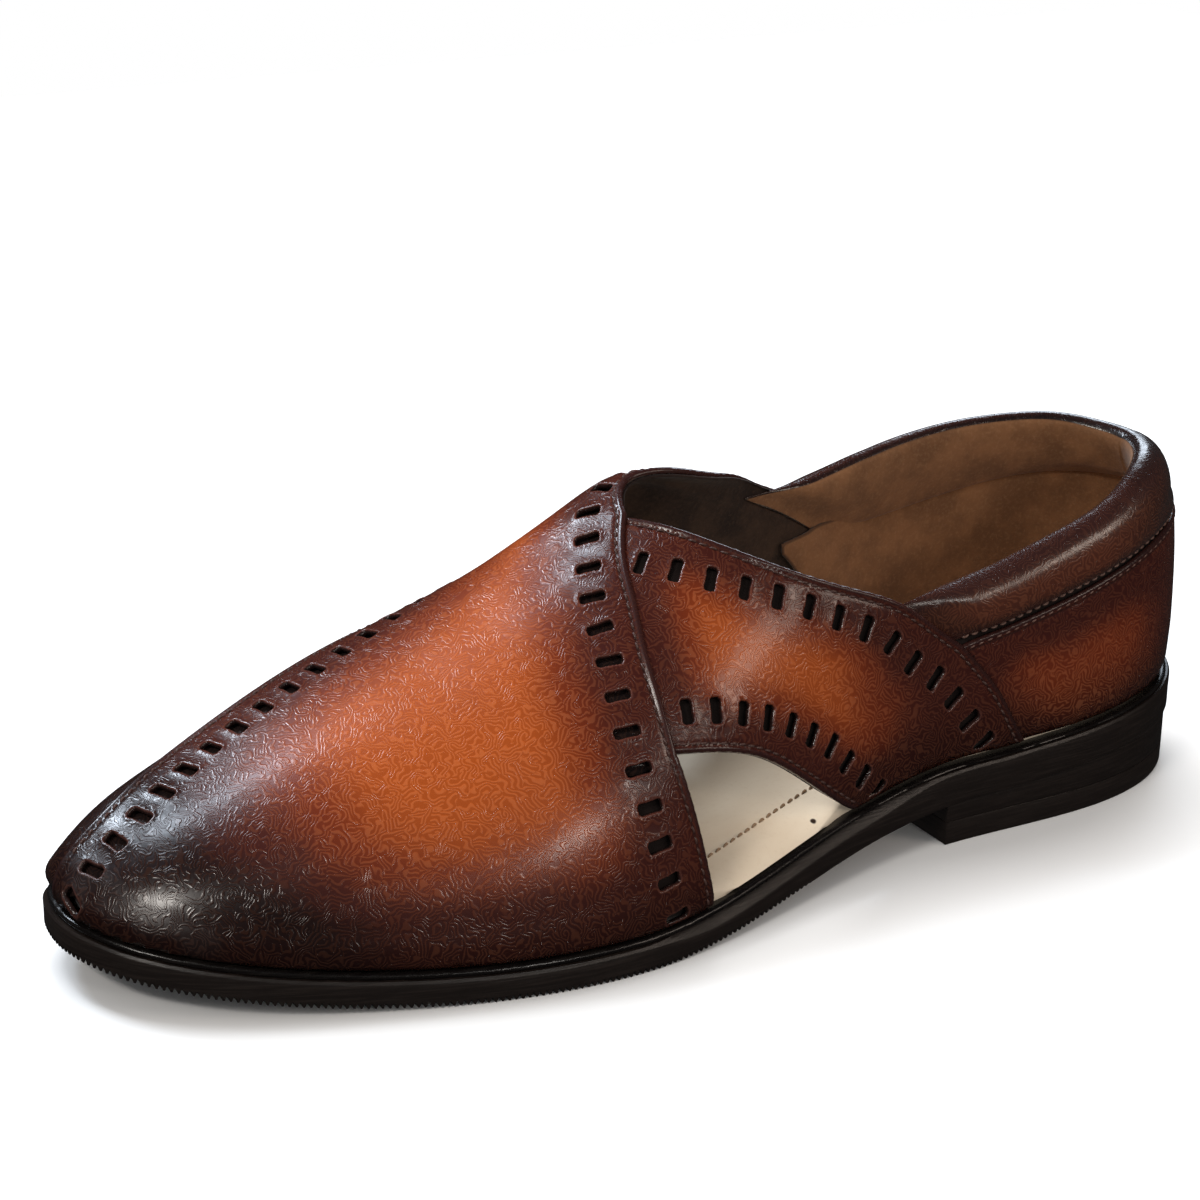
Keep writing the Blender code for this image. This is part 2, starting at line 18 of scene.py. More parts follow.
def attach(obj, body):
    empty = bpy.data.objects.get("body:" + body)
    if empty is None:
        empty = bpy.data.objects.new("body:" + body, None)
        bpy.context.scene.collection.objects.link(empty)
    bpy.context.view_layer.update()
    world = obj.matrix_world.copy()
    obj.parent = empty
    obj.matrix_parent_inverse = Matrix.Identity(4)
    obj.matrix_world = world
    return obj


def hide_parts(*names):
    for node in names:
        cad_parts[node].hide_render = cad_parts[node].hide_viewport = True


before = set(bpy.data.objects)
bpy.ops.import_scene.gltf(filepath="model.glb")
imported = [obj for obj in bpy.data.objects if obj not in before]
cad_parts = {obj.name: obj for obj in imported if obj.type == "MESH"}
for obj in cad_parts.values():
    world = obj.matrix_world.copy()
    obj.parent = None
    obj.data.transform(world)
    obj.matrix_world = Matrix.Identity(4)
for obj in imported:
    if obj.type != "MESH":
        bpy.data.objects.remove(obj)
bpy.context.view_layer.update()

MM = 0.001
RANDOM = np.random.default_rng(7)

# ---------------------------------------------------------------- the last, as in the CAD model

LENGTH = 300.0
TOE_SPRING = 9.7
SPRING_STATION = 0.70
BALL_STATION = 0.62
BREAST_STATION = 0.30
SEAT_STATION = 0.25
WAIST_HEIGHT = 11.0
SEAT_RISE = 5.0
FORE_THICKNESS = 6.2
WAIST_THICKNESS = 8.6
WAIST_BEVEL = 2.6
HEEL_INSET = 0.5
LEAST_BEVEL = 0.5
BEVEL_RUN = 0.08
GAP = 0.3
WELT_THICKNESS = 1.6
WELT_INSET = 1.0
WELT_WIDTH = 4.7
INSOLE_THICKNESS = 4.3
UPPER_INSET = 0.9
UPPER_WALL = 2.4
INSOLE_EDGE = 0.8
RIM_HEIGHT = 2.2
RIM_FADE = 14.0
LEVEL_GIRTH = 0.93
DIP_GIRTH = -0.25
DIP_SPREAD = 0.28
ON_BACK_LINE = 0.01
FINE_COUNT = 2001
RIB_COUNT = 161
GIRTH_COUNT = 81

LAST_COLUMNS = (
    "station", "lateral", "medial", "crest", "offset", "crest_station",
    "lateral_full", "medial_full", "tuck", "tuck_height", "dip",
)
LAST_ROWS = (
    (0.000, 0.0, 0.0, 128.0, 0.0, 0.230, 2.10, 2.10, 3.0, 16, 0),
    (0.015, 13.0, 13.0, 128.0, 0.0, 0.232, 2.10, 2.10, 3.0, 16, 0),
    (0.050, 24.0, 23.8, 127.0, 0.0, 0.240, 2.15, 2.15, 3.0, 16, 0),
    (0.120, 32.8, 31.5, 124.0, -0.5, 0.262, 2.20, 2.20, 3.0, 16, 0),
    (0.200, 34.8, 32.6, 119.0, -2.0, 0.300, 2.20, 2.40, 3.0, 16, 0),
    (0.300, 34.8, 30.0, 111.0, -4.5, 0.360, 2.00, 2.40, 3.0, 15, 4),
    (0.400, 39.2, 27.7, 101.0, -7.5, 0.430, 1.80, 2.40, 2.8, 14, 13),
    (0.500, 47.6, 30.1, 89.5, -10.4, 0.510, 1.80, 2.40, 2.6, 12, -1),
    (0.600, 54.0, 37.3, 75.7, -12.4, 0.600, 1.80, 2.40, 2.4, 10, 0),
    (0.680, 53.5, 42.6, 64.8, -12.8, 0.680, 1.80, 2.40, 2.4, 9, 0),
    (0.750, 49.2, 44.2, 57.4, -12.4, 0.750, 1.80, 2.40, 2.4, 8, 0),
    (0.820, 42.8, 41.2, 50.0, -11.4, 0.820, 1.85, 2.40, 2.4, 8, 0),
    (0.890, 34.5, 34.0, 41.9, -9.8, 0.890, 1.90, 2.40, 2.4, 8, 0),
    (0.940, 25.9, 28.0, 36.2, -7.8, 0.940, 1.95, 2.30, 2.4, 7, 0),
    (0.975, 16.4, 22.2, 30.2, -5.8, 0.974, 2.00, 2.20, 2.4, 7, 0),
    (0.993, 7.2, 15.4, 25.2, -4.4, 0.991, 2.00, 2.20, 2.4, 7, 0),
    (1.000, -3.6, 3.6, 17.9, -3.6, 0.997, 2.00, 2.20, 2.4, 7, 0),
)


def smooth(x):
    x = np.clip(x, 0.0, 1.0)
    return x * x * (3.0 - 2.0 * x)


def natural_spline(x, y):
    """Returns a function: the natural cubic spline through the points (x, y)."""
    x = np.asarray(x, float)
    y = np.asarray(y, float)
    last = len(x) - 1
    step = np.diff(x)
    slope = np.diff(y) / step
    matrix = np.eye(last + 1)
    right = np.zeros(last + 1)
    for i in range(1, last):
        matrix[i, i - 1 : i + 2] = step[i - 1], 2.0 * (step[i - 1] + step[i]), step[i]
        right[i] = 6.0 * (slope[i] - slope[i - 1])
    bend = np.linalg.solve(matrix, right)

    def curve(t):
        t = np.asarray(t, float)
        i = np.clip(np.searchsorted(x, t) - 1, 0, last - 1)
        width = x[i + 1] - x[i]
        before = x[i + 1] - t
        after = t - x[i]
        cubic = (bend[i] * before**3 + bend[i + 1] * after**3) / (6.0 * width)
        left = (y[i] / width - bend[i] * width / 6.0) * before
        return cubic + left + (y[i + 1] / width - bend[i + 1] * width / 6.0) * after

    return curve


def sole_bottom(x):
    station = np.asarray(x) / LENGTH
    toe = TOE_SPRING * (np.clip(station - SPRING_STATION, 0.0, 1.0) / (1.0 - SPRING_STATION)) ** 2
    waist = WAIST_HEIGHT * smooth((BALL_STATION - station) / (BALL_STATION - SEAT_STATION))
    return toe + waist + SEAT_RISE * np.clip((SEAT_STATION - station) / SEAT_STATION, 0.0, 1.0)


def sole_top(x):
    station = np.asarray(x) / LENGTH
    thicker = np.clip((BALL_STATION - station) / (BALL_STATION - BREAST_STATION), 0.0, 1.0)
    return sole_bottom(x) + FORE_THICKNESS + (WAIST_THICKNESS - FORE_THICKNESS) * thicker


class Last:
    """The foot form. A rib at position t runs from the outer feather edge (girth 1) over the crest
    (girth 0) to the inner feather edge (girth -1); t is 0 at the back and self.end at the tip."""

    def __init__(self):
        rows = dict(zip(LAST_COLUMNS, np.array(LAST_ROWS, float).T))
        x = rows["station"] * LENGTH
        lateral = rows["lateral"]
        medial = rows["medial"]
        run = 0.5 * (np.hypot(np.diff(x), np.diff(lateral)) + np.hypot(np.diff(x), np.diff(medial)))
        t = np.concatenate([[0.0], np.cumsum(run)])
        self.end = t[-1]
        beyond = 4

        def around(heel, own, tip):
            return np.concatenate([heel[beyond:0:-1], own, tip[-2 : -2 - beyond : -1]])

        def spline(heel, own, tip):
            return natural_spline(around(-t, t, 2.0 * self.end - t), around(heel, own, tip))

        self.x = spline(x, x, x)
        self.lateral = spline(-medial, lateral, -medial)
        self.medial = spline(lateral, -medial, lateral)
        rise = rows["crest"] - sole_top(x)
        rise[-1] = 0.0
        self.rise = spline(rise, rise, -rise)
        crest_x = rows["crest_station"] * LENGTH
        self.crest_x = spline(crest_x, crest_x, crest_x)
        for name in ("offset", "tuck", "tuck_height", "dip", "lateral_full", "medial_full"):
            setattr(self, name, spline(rows[name], rows[name], rows[name]))
        self.fine = np.linspace(0.0, self.end, FINE_COUNT)
        self.fine_x = self.x(self.fine)
        self.half_t = np.linspace(0.0, self.end, RIB_COUNT)
        girth = np.linspace(-1.0, 1.0, GIRTH_COUNT)
        self.half = []
        for t_here in self.half_t:
            rib = self.point(np.full(girth.shape, t_here), girth)
            self.half.append(0.5 * np.linalg.norm(np.diff(rib, axis=0), axis=1).sum())

    def at(self, station):
        return np.interp(np.asarray(station) * LENGTH, self.fine_x, self.fine)

    def station(self, t):
        return np.interp(t, self.fine, self.fine_x) / LENGTH

    def edge(self, t, side, inset=0.0):
        """Outline of the outsole on side 1 (outer) or -1 (inner), moved inwards by inset."""
        across = self.lateral if side > 0 else self.medial
        step = 0.01
        here = np.stack([self.x(t), across(t)], -1)
        run = np.stack([self.x(t + step) - self.x(t - step), across(t + step) - across(t - step)], -1)
        run = run / np.linalg.norm(run, axis=-1, keepdims=True)
        inward = side * np.stack([run[..., 1], -run[..., 0]], -1)
        return here + inward * np.asarray(inset)[..., None]

    def point(self, t, girth):
        """Points of the upper's outer surface, x measured from the back of the heel."""
        angle = (1.0 - girth) * math.pi / 2.0
        cosine = np.cos(angle)
        sine = np.sin(angle)
        outer = 0.5 + 0.5 * cosine
        full = self.lateral_full(t) * outer + self.medial_full(t) * (1.0 - outer)
        radius = (np.abs(cosine) ** full + np.abs(sine) ** full) ** (-1.0 / full)
        across = (radius * cosine)[..., None]
        left = self.edge(t, 1, UPPER_INSET)
        right = self.edge(t, -1, UPPER_INSET)
        crest = np.stack([self.crest_x(t), self.offset(t)], -1)
        middle = (left + right) / 2.0
        flat = crest + across * (left - right) / 2.0
        flat = flat + across**2 * (2.0 - across**2) * (middle - crest)
        height = self.rise(t) * radius * sine
        from_left = self.edge(t, 1, 1.0) - self.edge(t, 1)
        from_right = self.edge(t, -1, 1.0) - self.edge(t, -1)
        inward = (from_left + from_right) / 2.0 + across * (from_left - from_right) / 2.0
        tuck = self.tuck(t) * np.clip(1.0 - height / self.tuck_height(t), 0.0, 1.0) ** 2
        flat = flat + inward * tuck[..., None]
        lift = RIM_HEIGHT * np.clip(1.0 - height / RIM_FADE, 0.0, 1.0) ** 2
        dip = self.dip(t) * radius * sine * np.exp(-0.5 * ((girth - DIP_GIRTH) / DIP_SPREAD) ** 2)
        z = sole_top(middle[..., 0]) + height + lift - dip
        return np.concatenate([flat, z[..., None]], -1)

    def normal(self, t, girth):
        """Outward unit normals; level at the feather edge, so that the upper's rim lies flat."""
        step = 0.02
        turn = 0.0004
        safe = np.clip(t, 0.0, self.end - 0.05)
        along = self.point(safe + step, girth) - self.point(safe - step, girth)
        over = self.point(safe, girth + turn) - self.point(safe, girth - turn)
        out = np.cross(along, over)
        level = smooth((1.0 - np.abs(girth)) / (1.0 - LEVEL_GIRTH))
        out[..., 2] *= level
        out[..., 1] *= np.where(t < ON_BACK_LINE, 0.0, 1.0)
        return out / np.linalg.norm(out, axis=-1, keepdims=True)


LAST = Last()
outline_y = np.concatenate([LAST.lateral(LAST.fine), LAST.medial(LAST.fine)])
CENTRE = np.array([LENGTH / 2.0, (outline_y.max() + outline_y.min()) / 2.0, 0.0])


# ---------------------------------------------------------------- two charts of the last


def half_girth(t):
    """Half the girth of the last in mm, which turns girths into distances over the surface."""
    return np.interp(np.abs(t), LAST.half_t, LAST.half)


class VampChart:
    """Places are (t, girth)."""

    @staticmethod
    def of(rows):
        rows = np.array(rows, float)
        return np.stack([LAST.at(rows[:, 0]), rows[:, 1]], -1)

    @staticmethod
    def vamp(uv):
        return uv

    @classmethod
    def point(cls, uv):
        return LAST.point(*cls.vamp(uv).T)

    @classmethod
    def normal(cls, uv):
        return LAST.normal(*cls.vamp(uv).T)

    @staticmethod
    def flat(uv):
        return np.stack([uv[:, 0], uv[:, 1] * half_girth(uv[:, 0])], -1)

    @staticmethod
    def unflat(xy):
        return np.stack([xy[:, 0], xy[:, 1] / half_girth(xy[:, 0])], -1)


class HeelChart(VampChart):
    """Places are (u, v) round the back of the heel: u is t on the outer side and -t on the inner
    one, and v is the girth without its sign."""

    @staticmethod
    def of(rows):
        rows = np.array(rows, float)
        return np.stack([np.sign(rows[:, 1]) * LAST.at(rows[:, 0]), np.abs(rows[:, 1])], -1)

    @staticmethod
    def vamp(uv):
        side = np.where(uv[:, 0] < 0.0, -1.0, 1.0)
        return np.stack([np.abs(uv[:, 0]), side * uv[:, 1]], -1)


def axes(chart, uv):
    """How the surface point moves per unit of each chart coordinate."""
    by_axis = []
    for step in np.diag([0.05, 0.001]):
        by_axis.append((chart.point(uv + step) - chart.point(uv - step)) / (2.0 * step.max()))
    return by_axis


def shift(chart, uv, direction, distance, steps=4):
    """Chart places moved over the surface by a distance in mm along 3-D directions."""
    uv = np.array(uv, float)
    steps = steps if distance > 1.0 else 1
    for _ in range(steps):
        by_u, by_v = axes(chart, uv)
        a, b, c, p, q = (
            (one * two).sum(1) for one, two in
            ((by_u, by_u), (by_u, by_v), (by_v, by_v), (direction, by_u), (direction, by_v)))
        det = np.maximum(a * c - b * b, 1e-6)
        uv = uv + distance / steps * np.stack([(p * c - q * b) / det, (a * q - b * p) / det], -1)
    return uv


def arc_length(points):
    return np.concatenate([[0.0], np.cumsum(np.linalg.norm(np.diff(points, axis=0), axis=1))])


def sample(at, run, table):
    """A table's rows at places along its run."""
    return np.stack([np.interp(at, run, column) for column in table.T], -1)


def on_last(rows, chart=VampChart, count=400):
    """A smooth line through rows of (station, girth), as close chart places."""
    uv = chart.of(rows)
    run = arc_length(chart.point(uv))
    fine = np.linspace(0.0, run[-1], count)
    return np.stack([natural_spline(run, column)(fine) for column in uv.T], -1)


def straight(start, end, count=400):
    return np.linspace(start, end, count)


def feather(start, end, side):
    """A line along the feather edge of one side, between two stations."""
    return straight((LAST.at(start), side), (LAST.at(end), side))


def spaced(chart, line, size, cut=0.0):
    """Places along a line, about size mm apart; cut mm are left out at both ends."""
    run = arc_length(chart.point(line))
    count = max(2, round((run[-1] - 2.0 * cut) / size) + 1)
    return sample(np.linspace(cut, run[-1] - cut, count), run, line)


def inwards(chart, line, side=1):
    """Unit 3-D directions over the surface to the left (side 1) or right (-1) of a line."""
    along = np.gradient(chart.point(line), axis=0)
    across = side * np.cross(chart.normal(line), along)
    return across / np.maximum(np.linalg.norm(across, axis=1, keepdims=True), 1e-9)


def inside(polygon, points):
    """Which points lie inside a polygon, by counting crossings of a ray."""
    x, y = points.T
    found = np.zeros(len(points), bool)
    for (x0, y0), (x1, y1) in zip(polygon, np.roll(polygon, -1, axis=0)):
        if y0 != y1:
            crosses = (y0 > y) != (y1 > y)
            found ^= crosses & (x < x0 + (y - y0) * (x1 - x0) / (y1 - y0))
    return found


class Near:
    """Distances to a set of close points."""

    def __init__(self, points):
        self.tree = KDTree(len(points))
        for i, point in enumerate(points):
            self.tree.insert(point, i)
        self.tree.balance()

    def __call__(self, points):
        return np.array([self.tree.find(point)[2] for point in points])


# ---------------------------------------------------------------- edges of the upper's pieces

OVER_FRONT = on_last((
    (0.553, 1.0), (0.557, 0.91), (0.562, 0.823), (0.567, 0.739), (0.573, 0.64),
))
OVER_REAR = on_last((
    (0.573, 0.64), (0.573, 0.601), (0.572, 0.509), (0.568, 0.416), (0.560, 0.332), (0.549, 0.230),
    (0.529, 0.135),
))
OVER_TOP = on_last((
    (0.529, 0.135), (0.520, 0.060), (0.505, 0.000), (0.480, -0.025), (0.456, -0.047), (0.432, -0.087),
    (0.408, -0.150), (0.389, -0.241), (0.374, -0.370), (0.363, -0.455), (0.346, -0.530),
    (0.325, -0.600), (0.301, -0.664), (0.282, -0.709),
))
OVER_BACK = on_last((
    (0.282, -0.709), (0.262, -0.763), (0.244, -0.820), (0.225, -0.900), (0.212, -1.0),
))
OVER_ARCH = on_last((
    (0.573, -0.63), (0.530, -0.69), (0.495, -0.75), (0.455, -0.84), (0.425, -0.92), (0.400, -1.0),
))
OVER_INNER = on_last((
    (1.000, 0.02), (0.988, -0.014), (0.964, -0.022), (0.942, -0.044), (0.915, -0.101), (0.884, -0.151),
    (0.852, -0.179), (0.823, -0.196), (0.793, -0.220), (0.763, -0.251), (0.733, -0.285),
    (0.704, -0.335), (0.673, -0.402), (0.640, -0.483), (0.607, -0.560), (0.573, -0.630),
))
UNDER_TOP = on_last((
    (0.529, 0.135), (0.504, 0.232), (0.457, 0.387), (0.407, 0.516), (0.376, 0.582), (0.343, 0.650),
    (0.327, 0.690), (0.307, 0.741), (0.290, 0.778),
))
UNDER_BACK = on_last((
    (0.290, 0.778), (0.269, 0.836), (0.253, 0.882), (0.240, 0.930), (0.223, 1.0),
))
UNDER_ARCH = on_last((
    (0.573, 0.64), (0.536, 0.69), (0.504, 0.742), (0.460, 0.843), (0.425, 0.93), (0.397, 1.0),
))
UNDER_FRONT = on_last((
    (0.573, -0.63), (0.566, -0.82), (0.553, -1.0),
))
UNDER_HIDDEN_FRONT = on_last((
    (0.573, 0.64), (0.615, 0.625), (0.630, 0.585), (0.635, 0.500), (0.640, 0.350), (0.660, 0.180),
    (0.700, 0.080), (0.750, 0.060), (0.800, 0.100), (0.850, 0.150), (0.900, 0.240), (0.940, 0.340),
    (0.970, 0.420), (1.000, 0.500),
))
UNDER_HIDDEN_REAR = on_last((
    (0.529, 0.135), (0.537, 0.080), (0.541, 0.000), (0.537, -0.100), (0.540, -0.250), (0.555, -0.450),
    (0.573, -0.630),
))
OUTER_SEAM = (
    (0.290, 0.778), (0.200, 0.764), (0.126, 0.747), (0.064, 0.730), (0.0, 0.722),
)
INNER_SEAM = (
    (0.282, -0.709), (0.249, -0.721), (0.199, -0.730), (0.148, -0.728), (0.096, -0.721),
    (0.043, -0.720), (0.0, -0.722),
)
OUTER_COLLAR_TOP = (
    (0.343, 0.650), (0.270, 0.662), (0.195, 0.652), (0.125, 0.632), (0.064, 0.600), (0.0, 0.586),
)
INNER_COLLAR_TOP = (
    (0.367, -0.425), (0.326, -0.508), (0.294, -0.542), (0.244, -0.558), (0.192, -0.567),
    (0.138, -0.570), (0.081, -0.574), (0.0, -0.586),
)

# Rows of slots, as lines through the slots' centres, and how many slots each has.
OUTER_ROW = (
    (0.590, 0.970), (0.598, 0.830), (0.604, 0.677), (0.605, 0.532), (0.598, 0.405), (0.587, 0.268),
    (0.564, 0.121), (0.545, 0.020), (0.522, -0.055), (0.492, -0.115), (0.462, -0.165), (0.438, -0.240),
    (0.420, -0.350), (0.404, -0.450), (0.384, -0.540), (0.360, -0.615), (0.336, -0.680),
    (0.314, -0.735), (0.294, -0.790), (0.272, -0.860), (0.252, -0.950),
)
INNER_ROW = (
    (0.9935, 0.560), (0.9885, 0.450), (0.978, 0.307), (0.957, 0.216), (0.935, 0.164), (0.913, 0.109),
    (0.891, 0.063), (0.869, 0.027), (0.849, 0.005), (0.827, -0.013), (0.804, -0.034), (0.785, -0.050),
    (0.763, -0.072), (0.739, -0.092), (0.715, -0.122), (0.692, -0.162), (0.668, -0.215),
    (0.645, -0.280), (0.622, -0.345), (0.600, -0.410), (0.578, -0.470), (0.555, -0.530),
    (0.530, -0.585), (0.505, -0.635), (0.480, -0.685), (0.455, -0.735), (0.430, -0.800),
    (0.408, -0.880), (0.395, -0.950),
)
STRAP_TOP_ROW = (
    (0.541, 0.260), (0.503, 0.370), (0.459, 0.472), (0.410, 0.585), (0.384, 0.644), (0.357, 0.708),
    (0.336, 0.773), (0.313, 0.825), (0.296, 0.874), (0.280, 0.924), (0.266, 0.969),
)
STRAP_LOW_ROW = (
    (0.554, 0.580), (0.528, 0.617), (0.503, 0.661), (0.475, 0.713), (0.446, 0.778), (0.423, 0.833),
    (0.408, 0.880), (0.392, 0.925), (0.376, 0.975),
)
OUTER_ROW_COUNT = 27
INNER_ROW_COUNT = 28
STRAP_TOP_COUNT = 14
STRAP_LOW_COUNT = 10

# Leather thicknesses, how far an edge that lies on another piece is lifted and how far that runs,
# and how far covered leather sinks.
LEATHER = 1.3
LINING = 0.7
LAP_LIFT = 0.65
LAP_RUN = 9.0
CLEAR = 0.05
OVER_LAP_GIRTH = -0.44
UNDER_LAP_GIRTH = 0.66
COVERED_DROP = 0.9
DROP_FROM = 3.0
DROP_RUN = 3.0
LINING_DROP = 0.55
FOOT_BULGE = 1.7
FOOT_RUN = 6.0
FOOT_TOE_RUN = 15.0

# Bead on a folded edge, stitch line beside it, and slots.
EDGE_ROUND = 0.65
LEAST_ROUND = 0.22
BEAD = (0.34, 0.75, 0.62)
STITCH_INSET = 2.0
STITCH_GROOVE = 0.24
GROOVE_WIDTH = 0.38
SLOT_LENGTH = 5.8
SLOT_WIDTH = 2.45
SLOT_WAIST = 0.10
SLOT_CORNER = 0.55
SLOT_ROUND = 0.35
SLOT_RIM = (0.17, 0.50, 0.34)
SLOT_LOWEST = 0.985
SLOT_CLEAR = 1.7
TIP_STATION = 0.97
EDGE_RINGS = (0.14, 0.38, 0.75, 1.15, 1.6, 2.0, 2.5, 3.3)
SLOT_RINGS = (0.14, 0.34, 0.62, 1.0, 1.5)
FINE_SIZE = 1.0
RING_SIZE = 1.25
LATTICE = 1.9
FAR = 99.0

tip = LAST.end
feather_over_inner = feather(0.212, 0.400, -1.0)
feather_over_outer = straight((tip, 1.0), (LAST.at(0.553), 1.0))
feather_under_outer = feather(0.223, 0.397, 1.0)
feather_under_inner = straight((tip, -1.0), (LAST.at(0.553), -1.0))


def segments(*parts):
    """A piece's outline as (line, finished), from lines that follow FINISHED where they are finished
    edges, or HIDDEN where they lie under another piece or end at the feather edge."""
    made = []
    for part in parts:
        if isinstance(part, bool):
            finished = part
        else:
            made.append((part, finished))
    return made


FINISHED, HIDDEN = True, False
over_segments = segments(
    FINISHED, OVER_FRONT, OVER_REAR, OVER_TOP, OVER_BACK, HIDDEN, feather_over_inner,
    FINISHED, OVER_ARCH[::-1], OVER_INNER[::-1], HIDDEN, straight((tip, 0.02), (tip, 1.0)),
    feather_over_outer)
under_segments = segments(
    HIDDEN, UNDER_HIDDEN_REAR, FINISHED, UNDER_FRONT, HIDDEN, feather_under_inner[::-1],
    straight((tip, -1.0), (tip, 0.5)), UNDER_HIDDEN_FRONT[::-1], FINISHED, UNDER_ARCH,
    HIDDEN, feather_under_outer[::-1], FINISHED, UNDER_BACK[::-1], UNDER_TOP[::-1])
over_flat = VampChart.flat(np.concatenate([line for line, _ in over_segments]))
under_flat = VampChart.flat(np.concatenate([line for line, _ in under_segments])[::-1])


def near_lines(*lines):
    return Near(VampChart.point(np.concatenate(lines)))


near_over_lap = near_lines(OVER_REAR, OVER_INNER, OVER_TOP[OVER_TOP[:, 1] < OVER_LAP_GIRTH], OVER_BACK)
near_under_lap = near_lines(UNDER_TOP[UNDER_TOP[:, 1] > UNDER_LAP_GIRTH], UNDER_BACK)
near_under_hidden = near_lines(UNDER_HIDDEN_FRONT, UNDER_HIDDEN_REAR)
near_finished = near_lines(
    OVER_FRONT, OVER_TOP, OVER_BACK, OVER_ARCH, UNDER_TOP, UNDER_BACK, UNDER_ARCH, UNDER_FRONT)


def covered(outline, uv):
    return inside(outline, VampChart.flat(uv))


def lap(near, points):
    """Lift near an edge that lies on another piece."""
    return LAP_LIFT * np.exp(-((near(points) / LAP_RUN) ** 2))


def foot_bulge(uv):
    """Leather swells a little over the welt where it was pulled down on the last."""
    foot = (1.0 - np.abs(uv[:, 1])) * half_girth(uv[:, 0])
    return FOOT_BULGE * np.exp(-((foot / FOOT_RUN) ** 2)) * smooth((LAST.end - uv[:, 0]) / FOOT_TOE_RUN)


def over_lift(uv, points):
    return lap(near_over_lap, points) + foot_bulge(uv)


def below(uv, points, outline, near):
    """Offset of a piece that lies partly under another, from that other piece alone."""
    raised = lap(near, points)
    sunk = COVERED_DROP * smooth((near(points) - DROP_FROM) / DROP_RUN)
    return np.where(covered(outline, uv), -LEATHER + raised - CLEAR - sunk, -raised) + foot_bulge(uv)


def under_lift(uv, points):
    return lap(near_under_lap, points) + below(uv, points, over_flat, near_over_lap)


def counter_lift(uv, points):
    by_over = below(uv, points, over_flat, near_over_lap)
    by_under = below(uv, points, under_flat, near_under_lap)
    return np.where(uv[:, 1] > 0.0, by_under, by_over)


def lining_lift(uv, points):
    """The lining lies under whichever leathers cover it."""
    sunk = LINING_DROP * smooth((near_finished(points) - DROP_FROM) / DROP_RUN)
    in_under = covered(under_flat, uv)
    beside = np.exp(-((near_under_hidden(points) / 5.0) ** 2))
    single = over_lift(uv, points) - (LEATHER + CLEAR) * (1.0 + beside)
    double = under_lift(uv, points) - LEATHER - CLEAR
    depth = np.where(in_under, double, single)
    return np.where(covered(over_flat, uv) | in_under, depth, foot_bulge(uv) - LEATHER - CLEAR) - sunk


def counter_lining_lift(uv, points):
    return counter_lift(uv, points) - LEATHER - CLEAR


# ---------------------------------------------------------------- meshes of the leather pieces


def link(name, data):
    made = bpy.data.objects.new(name, data)
    bpy.context.scene.collection.objects.link(made)
    return made


def make_object(name, points, faces, materials, attributes=None, face_materials=None, sharp=None):
    """A mesh object from points in millimetres, x measured from the back of the heel."""
    data = bpy.data.meshes.new(name)
    places = ((np.asarray(points) - CENTRE) * MM).tolist()
    data.from_pydata(places, [], [list(map(int, face)) for face in faces])
    for material in materials:
        data.materials.append(material)
    if face_materials is not None:
        data.polygons.foreach_set("material_index", np.asarray(face_materials, np.int32))
    for key, values in (attributes or {}).items():
        layer = data.attributes.new(key, "FLOAT", "POINT")
        layer.data.foreach_set("value", np.asarray(values, np.float32))
    data.shade_smooth()
    if sharp is not None:
        data.set_sharp_from_angle(angle=math.radians(sharp))
    data.update()
    return link(name, data)


def slot_places(row, count):
    """Centres and long directions of evenly spaced slots across a row's line."""
    line = on_last(row, count=1200)
    points = VampChart.point(line)
    run = arc_length(points)
    at = np.linspace(0.0, run[-1], count)
    centres = sample(at, run, line)
    along = sample(at, run, np.gradient(points, axis=0))
    along /= np.linalg.norm(along, axis=1, keepdims=True)
    return centres, np.cross(VampChart.normal(centres), along), along


def slot_jitter(count):
    """Small random changes: each slot's length and width by a factor, and its turn in radians."""
    return (1.0, 1.0, 0.0) + RANDOM.normal(0.0, 1.0, (count, 3)) * (0.03, 0.06, 0.035)


def rounded_slot(length, width, grow, pitch):
    """Outline of a slot, counter-clockwise, with ends a little wider than its middle."""
    corner = SLOT_CORNER + grow
    half_length = length / 2.0 + grow - corner
    half_width = width / 2.0 + grow - corner
    turn = np.linspace(0.0, math.pi / 2.0, 5)
    points = []
    for quarter, (sx, sy) in enumerate(((1, 1), (-1, 1), (-1, -1), (1, -1))):
        angle = turn + quarter * math.pi / 2.0
        arc = np.stack([np.cos(angle), np.sin(angle)], -1) * corner
        points.append(arc + (sx * half_length, sy * half_width))
    closed = np.concatenate([*points, points[0][:1]])
    run = arc_length(closed)
    loop = sample(np.linspace(0.0, run[-1], max(12, round(run[-1] / pitch)) + 1)[:-1], run, closed)
    middle = np.cos(np.clip(loop[:, 0] / half_length, -1, 1) * math.pi / 2.0) ** 2
    loop[:, 1] *= 1.0 - SLOT_WAIST * middle
    return loop


